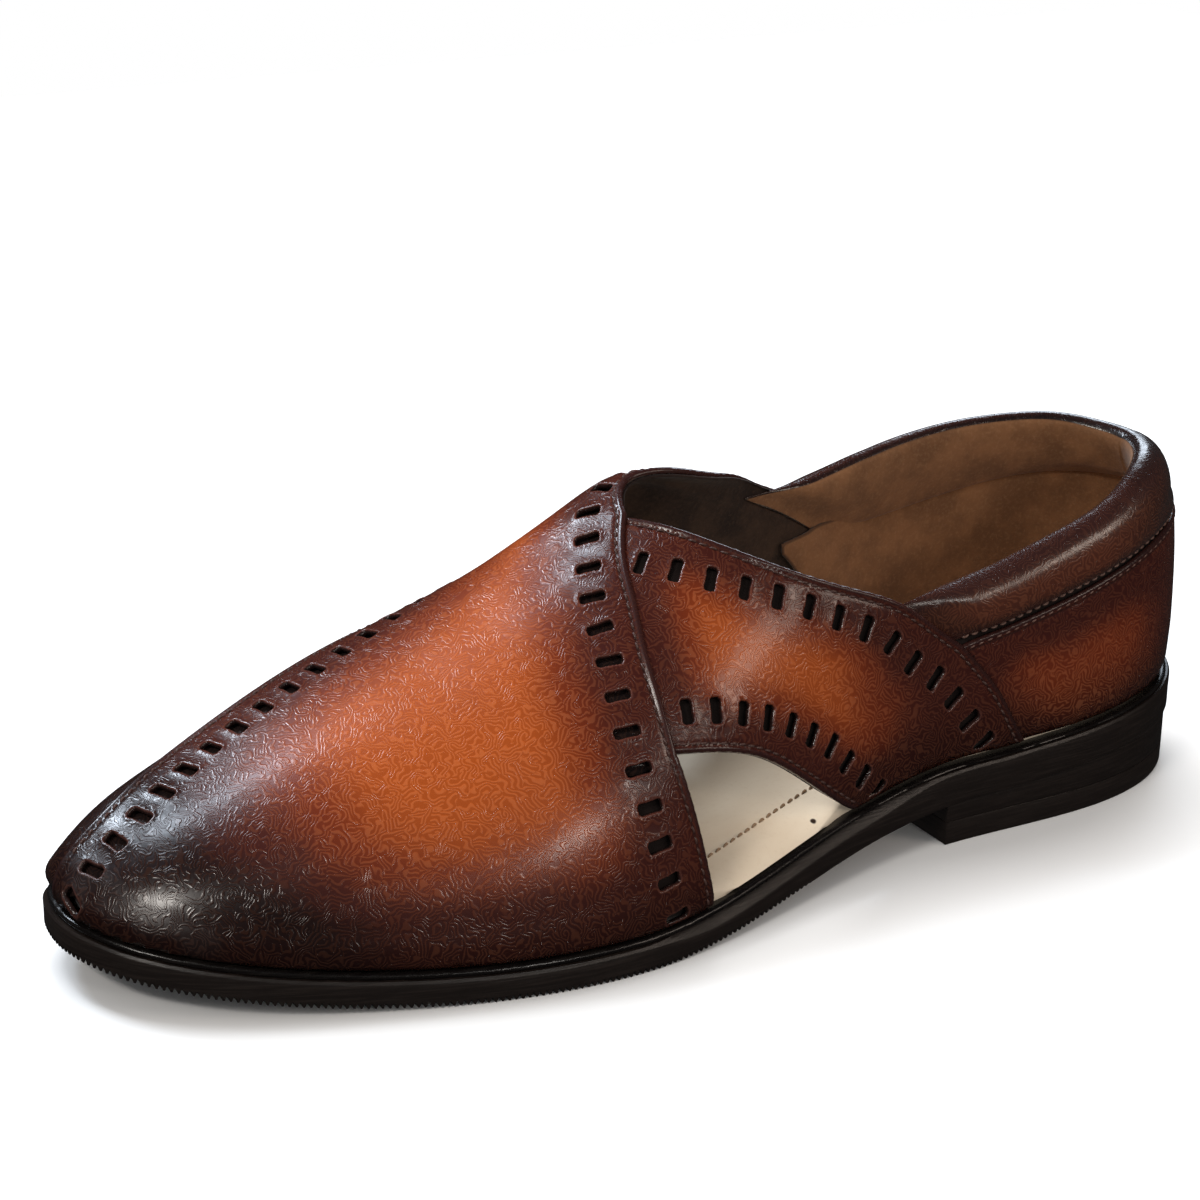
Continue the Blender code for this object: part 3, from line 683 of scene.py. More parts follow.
def slot_loops(places, jitter, grow, pitch):
    """Loops of chart places round each slot, grown by some mm."""
    by_u, by_v = axes(VampChart, places[0])
    loops = []
    for i, (centre, across, along) in enumerate(zip(*places)):
        longer, wider, turn = jitter[i]
        loop = rounded_slot(SLOT_LENGTH * longer, SLOT_WIDTH * wider, grow, pitch)
        a_axis = across * math.cos(turn) + along * math.sin(turn)
        b_axis = along * math.cos(turn) - across * math.sin(turn)
        moves = loop[:, :1] * a_axis + loop[:, 1:] * b_axis
        uv = centre + np.linalg.lstsq(np.stack([by_u[i], by_v[i]], -1), moves.T, rcond=None)[0].T
        if centre[0] > LAST.at(TIP_STATION):
            # The chart bends too fast by the toe tip for one step.
            uv = shift(VampChart, np.tile(centre, (len(moves), 1)), moves / 2.0, 2.0, 8)
        uv[:, 1] = np.clip(uv[:, 1], -SLOT_LOWEST, SLOT_LOWEST)
        loops.append(uv)
    return loops


def ridge(distance, height, at, width):
    """A low ridge beside an edge, starting from nothing at the edge itself."""
    return height * np.exp(-(((distance - at) / width) ** 2)) * np.clip(distance / 0.3, 0, 1)


def rounding(distance, radius):
    part = np.clip(distance / radius, 0.0, 1.0)
    return np.maximum(np.sqrt(1.0 - (1.0 - part) ** 2), LEAST_ROUND)


def closed_points(chart, loop, parts):
    """Close points along a closed loop of chart places."""
    corners = chart.point(np.concatenate([loop, loop[:1]]))
    return np.concatenate([np.linspace(a, b, parts)[:-1] for a, b in zip(corners, corners[1:])])


def loop_edges(first, count):
    return [(first + i, first + (i + 1) % count) for i in range(count)]


def leather_net(chart, parts, rows):
    """Chart places and triangles of a piece with its slots cut out, fine beside its edges, and the
    functions that measure distances to its finished edges and to its slots."""
    outline = np.concatenate([
        spaced(chart, line, FINE_SIZE if finished else RING_SIZE * 1.3)[:-1] for line, finished in parts])
    finished_lines = [line for line, finished in parts if finished]
    flat_outline = chart.flat(outline)
    near_outline = Near(closed_points(chart, outline, 5))
    near_edge = Near(chart.point(np.concatenate([spaced(chart, line, 0.3) for line in finished_lines])))
    holes = [loop for row in rows for loop in slot_loops(*row, 0.0, 0.75)]
    near_hole = (
        Near(np.concatenate([closed_points(chart, loop, 4) for loop in holes])) if holes
        else lambda points: np.full(len(points), FAR))

    inner = []
    for line in finished_lines:
        for ring in EDGE_RINGS:
            uv = spaced(chart, line, FINE_SIZE if ring < 1.3 else RING_SIZE)
            uv = shift(chart, uv, inwards(chart, uv), ring)
            uv = uv[inside(flat_outline, chart.flat(uv))]
            points = chart.point(uv)
            inner.append(uv[(near_outline(points) > 0.86 * ring) & (near_hole(points) > SLOT_CLEAR)])
    for row in rows:
        for ring in SLOT_RINGS:
            uv = np.concatenate(slot_loops(*row, ring, 0.85 if ring < 0.9 else 1.2))
            uv = uv[inside(flat_outline, chart.flat(uv))]
            points = chart.point(uv)
            inner.append(uv[(near_outline(points) > 0.5) & (near_hole(points) > 0.08)])
    low, high = flat_outline.min(0), flat_outline.max(0)
    lattice = []
    for number, x in enumerate(np.arange(low[0], high[0], LATTICE * 0.87)):
        y = np.arange(low[1], high[1], LATTICE) + 0.5 * LATTICE * (number % 2)
        lattice.append(np.stack([np.full(y.shape, x), y], -1))
    lattice = np.concatenate(lattice)
    lattice = chart.unflat(lattice[inside(flat_outline, lattice)])
    points = chart.point(lattice)
    inner.append(lattice[
        (near_outline(points) > 0.55 * LATTICE) & (near_edge(points) > EDGE_RINGS[-1] + 0.45 * LATTICE)
        & (near_hole(points) > SLOT_RINGS[-1] + 0.45 * LATTICE)])

    uv = np.concatenate([outline, *holes, *inner])
    edges = loop_edges(0, len(outline))
    for loop in holes:
        edges += loop_edges(len(edges), len(loop))
    corners = [tuple(place) for place in chart.flat(uv)]
    xy, _, faces, sources, _, _ = delaunay_2d_cdt(corners, edges, [], 0, 1e-5)
    xy = np.array([tuple(place) for place in xy])
    faces = np.array(faces)
    uv = np.array([uv[s[0]] if s else chart.unflat(p[None])[0] for s, p in zip(sources, xy)])
    middles = xy[faces].mean(1)
    kept = inside(flat_outline, middles)
    for loop in holes:
        flat_loop = chart.flat(loop)
        near_box = np.all((middles > flat_loop.min(0)) & (middles < flat_loop.max(0)), axis=1)
        some = np.nonzero(near_box)[0]
        kept[some[inside(flat_loop, middles[some])]] = False
    used, faces = np.unique(faces[kept], return_inverse=True)
    return uv[used], faces.reshape(-1, 3), near_edge, near_hole


def leather_piece(name, chart, parts, rows, lift, shade, thickness, look):
    """A shell of leather drawn on a chart. Its parts go all the way round, with the piece on their
    left in flat coordinates. Rows are slot places with their jitter. Linings have no shade and no
    relief."""
    uv, faces, near_edge, near_hole = leather_net(chart, parts, rows)
    base = chart.point(uv)
    normal = chart.normal(uv)
    edge = near_edge(base)
    hole = near_hole(base)
    uv = chart.vamp(uv)
    half = thickness / 2.0
    bulge = rounding(edge, min(EDGE_ROUND, half)) * rounding(hole, min(SLOT_ROUND, half))
    middle = lift(uv, base) - half
    outer = middle + half * bulge
    back = middle - half * bulge
    foot = (1.0 - np.abs(uv[:, 1])) * half_girth(uv[:, 0])
    dark = np.zeros(len(uv))
    if shade:
        outer += ridge(edge, *BEAD)
        outer -= STITCH_GROOVE * np.exp(-(((edge - STITCH_INSET) / GROOVE_WIDTH) ** 2))
        outer += ridge(hole, *SLOT_RIM)
        outer -= 0.04 * np.exp(-((hole - 2.2) ** 2))
        outer += creases(base)
        dark = shade(edge, foot, LAST.station(uv[:, 0]), uv[:, 1], base)
    top = base + outer[:, None] * normal
    bottom = base + back[:, None] * normal
    count = len(base)
    pairs = np.concatenate([faces[:, [0, 1]], faces[:, [1, 2]], faces[:, [2, 0]]])
    _, first_at, counts = np.unique(np.sort(pairs, axis=1), axis=0, return_index=True, return_counts=True)
    border = pairs[first_at[counts == 1]]
    turned = np.cross(top[faces[:, 1]] - top[faces[:, 0]], top[faces[:, 2]] - top[faces[:, 0]])
    if (turned * normal[faces[:, 0]]).sum(1).mean() < 0.0:
        faces = faces[:, ::-1]
        border = border[:, ::-1]
    walls = [[a, a + count, b + count, b] for a, b in border]
    values = {"edge": edge, "hole": hole, "foot": foot, "dark": dark}
    values = {key: np.concatenate([value, value]) for key, value in values.items()}
    values["under"] = np.repeat([0.0, 1.0], count)
    shell = [*faces.tolist(), *(faces[:, ::-1] + count).tolist(), *walls]
    return make_object(name, np.concatenate([top, bottom]), shell, [look], values)


# Soft creases, each a line on the last with the depth and half width of its trough in mm. Leather
# piles up a little on both sides of a trough.
CREASES = (
    (((0.640, 0.56), (0.652, 0.30), (0.668, 0.06)), 0.10, 6.0),
    (((0.700, 0.60), (0.706, 0.38), (0.716, 0.14)), 0.08, 6.5),
    (((0.655, -0.62), (0.662, -0.74), (0.668, -0.86)), 0.30, 4.5),
    (((0.610, -0.66), (0.618, -0.78), (0.626, -0.90)), 0.26, 4.5),
    (((0.545, -0.10), (0.565, -0.24), (0.578, -0.40)), 0.30, 5.0),
    (((0.470, 0.47), (0.452, 0.60), (0.430, 0.72)), 0.22, 5.5),
    (((0.375, 0.72), (0.360, 0.80), (0.350, 0.88)), 0.18, 4.5),
    (((0.360, -0.66), (0.350, -0.76), (0.342, -0.86)), 0.22, 4.5),
    (((0.455, -0.42), (0.436, -0.56), (0.420, -0.70)), 0.24, 5.5),
)

crease_lines = [(near_lines(on_last(rows, count=120)), depth, width) for rows, depth, width in CREASES]


def creases(points):
    total = np.zeros(len(points))
    for near, depth, width in crease_lines:
        part = near(points) / width
        total += depth * (0.45 * np.exp(-((part - 1.9) ** 2)) - np.exp(-(part**2)))
    return total


# ---------------------------------------------------------------- materials


class Value:
    """A shader node's output, which can be added, subtracted and multiplied."""

    def __init__(self, nodes, socket):
        self.nodes = nodes
        self.socket = socket

    def __add__(self, other):
        return self.nodes.math("ADD", self, other)

    def __sub__(self, other):
        return self.nodes.math("SUBTRACT", self, other)

    def __mul__(self, other):
        return self.nodes.math("MULTIPLY", self, other)


class Nodes:
    """A short way to write shader nodes. Sizes of patterns are in millimetres."""

    def __init__(self, name):
        self.material = bpy.data.materials.new(name)
        self.material.use_nodes = True
        self.tree = self.material.node_tree

    def fill(self, node, values):
        for key, value in values.items():
            socket = node.inputs[key]
            if isinstance(value, Value):
                self.tree.links.new(value.socket, socket)
            elif socket.type == "RGBA":
                socket.default_value = (*value, 1.0)
            else:
                socket.default_value = value

    def add(self, kind, values, output=0, **settings):
        node = self.tree.nodes.new("ShaderNode" + kind)
        for key, value in settings.items():
            setattr(node, key, value)
        self.fill(node, values)
        return Value(self, node.outputs[output])

    def math(self, operation, a, b=0.0):
        return self.add("Math", {0: a, 1: b}, operation=operation)

    def vector(self, operation, a, b, output=0):
        return self.add("VectorMath", {0: a, 1: b}, output, operation=operation)

    def attribute(self, name):
        return self.add("Attribute", {}, "Fac", attribute_name=name)

    def ramp(self, value, low, high, out_low=0.0, out_high=1.0):
        values = dict(enumerate((value, low, high, out_low, out_high)))
        return self.add("MapRange", values, interpolation_type="SMOOTHSTEP")

    def place(self, scale=None):
        place = self.add("TexCoord", {}, "Object")
        return self.add("Mapping", {"Vector": place, "Scale": scale}) if scale else place

    def noise(self, size, detail=2.0, roughness=0.5, vector=None):
        values = {"Scale": 1.0 / (size * MM), "Detail": detail, "Roughness": roughness}
        return self.add("TexNoise", {**values, "Vector": vector or self.place()}, "Fac")

    def mix(self, part, a, b):
        return self.add("Mix", {"Factor": part, "A": a, "B": b}, "Result", data_type="RGBA")

    def bump(self, height, distance, strength=1.0, under=None):
        values = {"Height": height, "Distance": distance * MM, "Strength": strength}
        return self.add("Bump", {**values, **({"Normal": under} if under else {})}, "Normal")

    def finish(self, **values):
        shader = self.tree.nodes["Principled BSDF"]
        self.fill(shader, {key.replace("_", " "): value for key, value in values.items()})
        return self.material


WORM_PITCH = 1.10
WORM_PATCH = 3.0
WORM_SWIRL = 2.5
WARP_SIZE = 3.0
WARP_REACH = 1.7
MIDDLE = (0.5, 0.5, 0.5)


def vermiculate(nodes):
    """Worm-like embossed ridges: thin wavy lines that turn another way in each small patch."""
    place = nodes.place()
    warp = nodes.add("TexNoise", {"Vector": place, "Scale": 1.0 / (WARP_SIZE * MM), "Detail": 0.0}, "Color")
    warp = nodes.vector("SUBTRACT", warp, MIDDLE)
    bent = nodes.add("VectorMath", {0: warp, "Scale": WARP_REACH * MM}, operation="SCALE")
    warped = nodes.vector("ADD", place, bent)
    cell = nodes.add("TexVoronoi", {"Vector": warped, "Scale": 1.0 / (WORM_PATCH * MM)}, "Position")
    cell_colour = Value(nodes, cell.socket.node.outputs["Color"])
    from_centre = nodes.vector("SUBTRACT", warped, cell)
    normal = nodes.add("NewGeometry", {}, "Normal")
    turned = nodes.vector("CROSS_PRODUCT", normal, nodes.vector("SUBTRACT", cell_colour, MIDDLE))
    tangent = nodes.add("VectorMath", {0: turned}, operation="NORMALIZE")
    along = nodes.vector("DOT_PRODUCT", from_centre, tangent, "Value")
    phase = along * (1.0 / (WORM_PITCH * MM)) + nodes.noise(WORM_SWIRL, 0.0) * 3.6
    return nodes.ramp(nodes.math("SINE", phase * (2.0 * math.pi)), -0.25, 0.95)


def burnished_leather(name, warm, mid, plum, black, gloss=0.20, haze=0.15, grained=1.0):
    """Embossed calf, burnished by hand from orange brown in the middle to dark plum at the edges."""
    nodes = Nodes(name)
    ramp = nodes.ramp
    edge, hole, foot, dark = (nodes.attribute(key) for key in ("edge", "hole", "foot", "dark"))
    mottle = nodes.noise(16.0, 3.0, 0.55)
    tone = dark + (mottle * 0.26 + nodes.noise(5.0, 3.0, 0.6) * 0.10 - 0.18)
    grain = vermiculate(nodes)
    colour = nodes.mix(ramp(tone, -0.08, 0.46), warm, mid)
    colour = nodes.mix(ramp(tone, 0.34, 0.92), colour, plum)
    colour = nodes.mix(ramp(tone, 0.85, 1.40), colour, black)
    colour = nodes.mix(ramp(foot, 17.0, 2.0, 0.0, 0.72), colour, (0.0120, 0.0020, 0.0013))
    worn = grain * ramp(tone, 1.2, 0.1, 0.05 * grained, 0.30 * grained)
    colour = nodes.mix(worn, colour, nodes.mix(0.5, colour, (0.60, 0.24, 0.11)))
    colour = nodes.mix(ramp(grain, 0.30, 0.0, 0.0, 0.16), colour, black)
    for part, over in (
        # lighter ring round each slot: partly rubbed leather, partly painted highlight on the raised rim
        (ramp(hole, 0.85, 0.45) * ramp(hole, 0.10, 0.32) * 0.24, (0.17, 0.065, 0.048)),
        (ramp(edge, 1.5, 0.9) * 0.7, (0.022, 0.009, 0.009)),
        (ramp(hole, 0.30, 0.05), (0.018, 0.008, 0.007)),
        (ramp(edge, 1.45, 1.95) * ramp(edge, 2.5, 2.05) * 0.6, (0.02, 0.009, 0.008)),
    ):
        colour = nodes.mix(part, colour, over)
    height = grain * ramp(edge, 0.9, 2.6) + nodes.noise(0.35, 2.0, 0.5) * 0.25
    normal = nodes.bump(height, 0.026, 0.5 + 0.5 * grained)
    soft = nodes.bump(nodes.noise(11.0, 2.0), 0.035, 0.5, normal)
    rough = nodes.math("MAXIMUM", mottle * 0.12 + 0.23 + grain * -0.05, ramp(tone, 1.6, 2.0))
    return nodes.finish(
        Base_Color=colour, Roughness=rough, Normal=soft, Specular_IOR_Level=0.44,
        Coat_Weight=gloss, Coat_Roughness=haze, Coat_Normal=soft)


def suede(name, light, dark, edge_colour):
    nodes = Nodes(name)
    wide = nodes.noise(12.0, 4.0, 0.6)
    fine = nodes.noise(0.9, 4.0, 0.7)
    colour = nodes.mix(nodes.ramp(wide, 0.35, 0.68), dark, light)
    colour = nodes.mix(nodes.ramp(fine, 0.45, 0.75) * 0.35, colour, edge_colour)
    # The face turned away from the foot is near black: painted shade where it shows down the slots.
    colour = nodes.mix(nodes.attribute("under"), (0.012, 0.007, 0.006), colour)
    raw = nodes.ramp(nodes.attribute("edge"), 0.9, 0.25) * 0.7
    colour = nodes.mix(raw, colour, (0.020, 0.010, 0.008))
    return nodes.finish(
        Base_Color=colour, Roughness=0.88, Normal=nodes.bump(fine * 0.6 + wide, 0.25, 0.8),
        Sheen_Weight=0.12, Sheen_Roughness=0.45, Specular_IOR_Level=0.2)


# A tack hole in the insole is not modelled: a dark dot of painted shade stands in for it.
TACK_HOLE = (-19.1, 31.7, 0.0)
TACK_EDGE = (0.0009, 0.0005)


def insole_leather(name):
    nodes = Nodes(name)
    wide = nodes.noise(30.0, 3.0, 0.6)
    fine = nodes.noise(1.4, 5.0, 0.65)
    colour = nodes.mix(nodes.ramp(wide, 0.3, 0.75), (0.86, 0.74, 0.58), (0.76, 0.62, 0.46))
    colour = nodes.mix(nodes.ramp(fine, 0.5, 0.8) * 0.25, colour, (0.58, 0.42, 0.28))
    # painted shade: a dark dot where the tack hole is
    tack_at = [MM * value for value in TACK_HOLE]
    from_tack = nodes.vector("DISTANCE", nodes.place((1.0, 1.0, 0.0)), tack_at, "Value")
    colour = nodes.mix(nodes.ramp(from_tack, *TACK_EDGE), colour, (0.03, 0.015, 0.01))
    return nodes.finish(
        Base_Color=colour, Roughness=fine * 0.2 + 0.45, Normal=nodes.bump(fine + wide * 2.0, 0.06, 0.7))


def edge_paint(name, base, streak, rough_low=0.28, relief=0.10):
    """Dressed edges of sole leather: long level streaks, small nicks and uneven gloss."""
    nodes = Nodes(name)
    streaks = nodes.noise(1000.0, 4.0, 0.65, nodes.place((70.0, 70.0, 2600.0)))
    fine = nodes.noise(1.1, 4.0, 0.6)
    wide = nodes.noise(22.0, 2.0, 0.5)
    colour = nodes.mix(nodes.ramp(streaks, 0.42, 0.72), base, streak)
    colour = nodes.mix(nodes.ramp(wide, 0.4, 0.8) * 0.4, colour, base)
    return nodes.finish(
        Base_Color=colour, Roughness=fine * 0.22 + rough_low,
        Normal=nodes.bump(streaks + fine * 0.35, relief, 0.8))


def thread(name, colour):
    nodes = Nodes(name)
    fine = nodes.noise(0.25, 3.0, 0.6)
    shade = nodes.mix(fine, tuple(0.6 * c for c in colour), tuple(1.4 * c for c in colour))
    return nodes.finish(Base_Color=shade, Roughness=0.36, Normal=nodes.bump(fine, 0.05, 0.8))


LEATHER_LOOK = burnished_leather(
    "burnished", (0.385, 0.070, 0.0075), (0.175, 0.024, 0.0035), (0.052, 0.0090, 0.0058),
    (0.0085, 0.0020, 0.0020))
COLLAR_LOOK = burnished_leather(
    "burnished_collar", (0.090, 0.020, 0.008), (0.054, 0.014, 0.007), (0.032, 0.0090, 0.0070),
    (0.007, 0.0030, 0.0030), 1.0, 0.27, 0.45)
SUEDE_LOOK = suede("suede_collar", (0.235, 0.108, 0.047), (0.150, 0.068, 0.030), (0.35, 0.19, 0.095))
# The straps' lining: partly its own dark brown suede, partly painted shade inside the shoe and behind the
# slots.
SHADED_LINING_LOOK = suede("suede_lining_shaded", (0.046, 0.024, 0.014), (0.018, 0.009, 0.006), (0.080, 0.046, 0.028))
INSOLE_LOOK = insole_leather("insole_cream")
SOLE_LOOK = edge_paint("sole_edge", (0.0105, 0.0068, 0.0055), (0.022, 0.015, 0.012))
WELT_LOOK = edge_paint("welt_edge", (0.004, 0.003, 0.003), (0.010, 0.008, 0.007), 0.14, 0.05)
THREAD_LOOK = thread("thread_brown", (0.066, 0.032, 0.026))
# The seams' thread is the brown thread made lighter: the extra lightness is painted highlight on the raised
# stitches.
LIT_SEAM_THREAD = thread("thread_seam_lit", (0.150, 0.078, 0.058))
CREAM_THREAD = thread("thread_tan", (0.30, 0.19, 0.11))

# ---------------------------------------------------------------- the upper's pieces

outer_slots, inner_slots, strap_top_slots, strap_low_slots = (
    (slot_places(row, count), slot_jitter(count)) for row, count in (
        (OUTER_ROW, OUTER_ROW_COUNT), (INNER_ROW, INNER_ROW_COUNT),
        (STRAP_TOP_ROW, STRAP_TOP_COUNT), (STRAP_LOW_ROW, STRAP_LOW_COUNT)))
MOST_PLUM = 0.92
# How black covered leather is painted: painted shade, so that the slots over it look dark inside.
COVERED_SHADE = 2.2
COUNTER_DARK = 0.36


def together(*parts):
    """Darkness from several causes at once."""
    return np.sqrt(sum(part**2 for part in parts))


def by_cover_shade(hidden, near):
    """Leather under another piece is painted black from just inside the lap: painted shade for the slots
    over it.
    """
    return COVERED_SHADE * hidden * smooth((near - 0.5) / 1.5)


def over_shade(edge, foot, station, girth, points):
    by_edge = 0.95 * smooth((34.0 - edge) / 29.0)
    by_foot = np.where(girth > 0.0, 1.15, 1.05) * smooth((34.0 - foot) / 31.0)
    by_toe = 1.50 * smooth((station + 0.08 * girth - 0.785) / 0.22)
    return together(np.minimum(together(by_edge, by_foot), MOST_PLUM), by_toe)


def under_shade(edge, foot, station, girth, points):
    forepart = girth < 0.3
    near_over = near_over_lap(points)
    by_edge = 0.92 * smooth((22.0 - edge) / 19.0)
    # darker beside the over panel's edge: partly burnished patina, partly painted shadow cast by the lapped
    # edge
    by_over = 0.90 * smooth((19.0 - near_over) / 18.0)
    by_foot = 0.95 * smooth((16.0 - foot) / 15.0)
    by_toe = np.where(forepart, 1.3 * smooth((station - 0.74) / 0.20), 0.0)
    by_rear = np.where(forepart, 0.0, 0.85 * smooth((0.44 - station) / 0.12))
    hidden = covered(over_flat, np.stack([LAST.at(station), girth], -1))
    plum = np.minimum(together(by_edge, by_over, by_foot, by_rear), MOST_PLUM)
    return together(plum, by_toe, by_cover_shade(hidden, near_over))


def counter_shade(edge, foot, station, girth, points):
    by_edge = 0.95 * smooth((22.0 - edge) / 21.0)
    by_foot = 0.70 * smooth((10.0 - foot) / 10.0)
    by_back = 0.90 * smooth((0.21 - station) / 0.20)
    near_strap = np.where(girth > 0.0, near_under_lap(points), near_over_lap(points))
    # darker beside the straps' edges: partly burnished patina, partly painted shadow cast by the lapped
    # straps
    by_strap = 0.65 * smooth((18.0 - near_strap) / 18.0)
    places = np.stack([LAST.at(station), girth], -1)
    hidden = covered(over_flat, places) | covered(under_flat, places)
    plum = np.minimum(together(by_edge, by_foot, by_back, by_strap, COUNTER_DARK), MOST_PLUM)
    return together(plum, by_cover_shade(hidden, near_strap))


def heel_line(ahead, behind):
    """The collar's seam from the inner strap round the heel to the outer one, run on at both ends
    through the rows given."""
    return np.concatenate([
        on_last((*ahead, *OUTER_SEAM), HeelChart),
        on_last(((0.000, -0.722), *INNER_SEAM[-2::-1], *behind), HeelChart)[1:],
    ])[::-1]


def heel_sides(top, outer, inner):
    """The outline of a piece round the heel below its top line, closed along the feather edge."""
    outer_line = on_last(outer, HeelChart)
    inner_line = on_last(inner, HeelChart)
    outer_line[0] = top[-1]
    inner_line[0] = top[0]
    foot = straight((LAST.at(outer[-1][0]), 1.0), (-LAST.at(inner[-1][0]), 1.0))
    return outer_line, foot, inner_line[::-1]


panel_over = leather_piece(
    "panel_over", VampChart, over_segments, [outer_slots, inner_slots], over_lift, over_shade,
    LEATHER, LEATHER_LOOK)
panel_under = leather_piece(
    "panel_under", VampChart, under_segments, [strap_top_slots, strap_low_slots], under_lift,
    under_shade, LEATHER, LEATHER_LOOK)

# The counter stops a little below the collar's seam and runs on under both straps.
SEAM_DROP = 0.75
LINING_OVER_SEAM = 3.0
seam_line = heel_line([(0.322, 0.785)], [(0.315, -0.700)])
counter_top = shift(HeelChart, seam_line, inwards(HeelChart, seam_line), SEAM_DROP)
outer_end, foot_line, inner_end = heel_sides(
    counter_top, ((0.322, 0.785), (0.295, 0.86), (0.262, 1.0)),
    ((0.315, -0.700), (0.288, -0.80), (0.250, -1.0)))
counter = leather_piece(
    "counter", HeelChart, segments(FINISHED, counter_top, HIDDEN, outer_end, foot_line, inner_end),
    [], counter_lift, counter_shade, LEATHER, LEATHER_LOOK)
lining_segments = segments(
    FINISHED, OVER_TOP, OVER_BACK, HIDDEN, feather_over_inner, FINISHED, OVER_ARCH[::-1], UNDER_FRONT,
    HIDDEN, feather_under_inner[::-1], straight((tip, -1.0), (tip, 1.0)), feather_over_outer,
    FINISHED, OVER_FRONT, UNDER_ARCH, HIDDEN, feather_under_outer[::-1],
    FINISHED, UNDER_BACK[::-1], UNDER_TOP[::-1])
lining_straps = leather_piece(
    "lining_straps", VampChart, lining_segments, [], lining_lift, None, LINING, SHADED_LINING_LOOK)
lining_top = heel_line([(0.345, 0.790), (0.322, 0.785)], [(0.315, -0.700), (0.345, -0.690)])
lining_top = shift(HeelChart, lining_top, inwards(HeelChart, lining_top, -1), LINING_OVER_SEAM)
outer_end, foot_line, inner_end = heel_sides(
    lining_top, ((0.345, 0.790), (0.325, 0.86), (0.300, 1.0)),
    ((0.345, -0.690), (0.315, -0.80), (0.290, -1.0)))
lining_counter = leather_piece(
    "lining_counter", HeelChart,
    segments(FINISHED, lining_top, outer_end, HIDDEN, foot_line, FINISHED, inner_end),
    [], counter_lining_lift, None, LINING, SUEDE_LOOK)

# ---------------------------------------------------------------- the padded collar

COLLAR_SECTION = (
    (0.035, -0.2), (0.10, 1.5), (0.28, 2.9), (0.50, 3.2), (0.70, 2.4), (0.86, 0.4), (0.94, -2.2),
    (0.88, -4.6), (0.72, -5.6), (0.50, -5.6), (0.28, -4.6), (0.10, -3.2), (0.035, -2.2),
)
COLLAR_BACK_LEAN = 4.2
COLLAR_BACK_RUN = 60.0
COLLAR_AROUND = 44
COLLAR_STEP = 1.1
COLLAR_TUCK_IN = 5.0
COLLAR_FLAT_FROM = 0.84
COLLAR_FLAT_TO = 0.975
COLLAR_SUEDE_FROM = 6.6


def collar_section(count):
    """Closed smooth section: how far round it, its rise and its distance out."""
    rows = np.array(COLLAR_SECTION)
    size = len(rows)
    beyond = 4
    wrapped = np.concatenate([rows[-beyond:], rows, rows[:beyond]])
    where = np.arange(count) * size / count
    at = np.arange(-beyond, size + beyond)
    rise, out = (natural_spline(at, column)(where) for column in wrapped.T)
    return where, rise, out


def collar_half(seam, top, strap, side):
    _, rise, out = collar_section(COLLAR_AROUND)
    seam_on = on_last(seam)[::-1]
    top_on = on_last(top)[::-1]
    strap = strap[np.argsort(strap[:, 1])]
    end_girth = seam[0][1] + (top[0][1] - seam[0][1]) * rise
    end = np.interp(end_girth, strap[:, 1], strap[:, 0]) + COLLAR_TUCK_IN
    rings = []
    for part in np.linspace(0.0, 1.0, round(end.mean() / COLLAR_STEP)):
        t = end * part
        low = np.interp(LAST.at(seam[0][0]) * part, seam_on[:, 0], seam_on[:, 1])
        high = np.interp(LAST.at(top[0][0]) * part, top_on[:, 0], top_on[:, 1])
        girth = low + (high - low) * rise
        flatten = smooth((part - COLLAR_FLAT_FROM) / (COLLAR_FLAT_TO - COLLAR_FLAT_FROM))
        swell = out + (-1.75 + 0.12 * out - out) * flatten
        lean = np.minimum(4.0 * rise, 1.0) * smooth(1.0 - t / COLLAR_BACK_RUN)
        swell = swell - COLLAR_BACK_LEAN * lean
        # Puckers where the padding is drawn in by the seam, fading towards the crown.
        near_seam = np.exp(-((rise - 0.16) / 0.13) ** 2) * (out > -1.0)
        swell = swell + 0.10 * near_seam * np.sin(t / 1.9 + 1.3 * np.sin(t / 7.0)) * (1.0 - flatten)
        wave = np.sin(t / 13.0 + side) + 0.6 * np.sin(t / 7.3 + 2.0 * side)
        swell = swell + 0.14 * wave * np.exp(-((rise - 0.55) / 0.3) ** 2) * (1.0 - flatten)
        rings.append(LAST.point(t, girth) + LAST.normal(t, girth) * swell[:, None])
    return rings


def band(first, second, count):
    """Faces between two closed rings of points."""
    following = [(i + 1) % count for i in range(count)]
    return [[first + i, first + j, second + j, second + i] for i, j in enumerate(following)]


def bands(count, pairs):
    """Faces between rings of points, for each pair of the rings' numbers."""
    return [face for low, high in pairs for face in band(count * low, count * high, count)]


def upwards(rings):
    return zip(range(len(rings)), range(1, len(rings)))


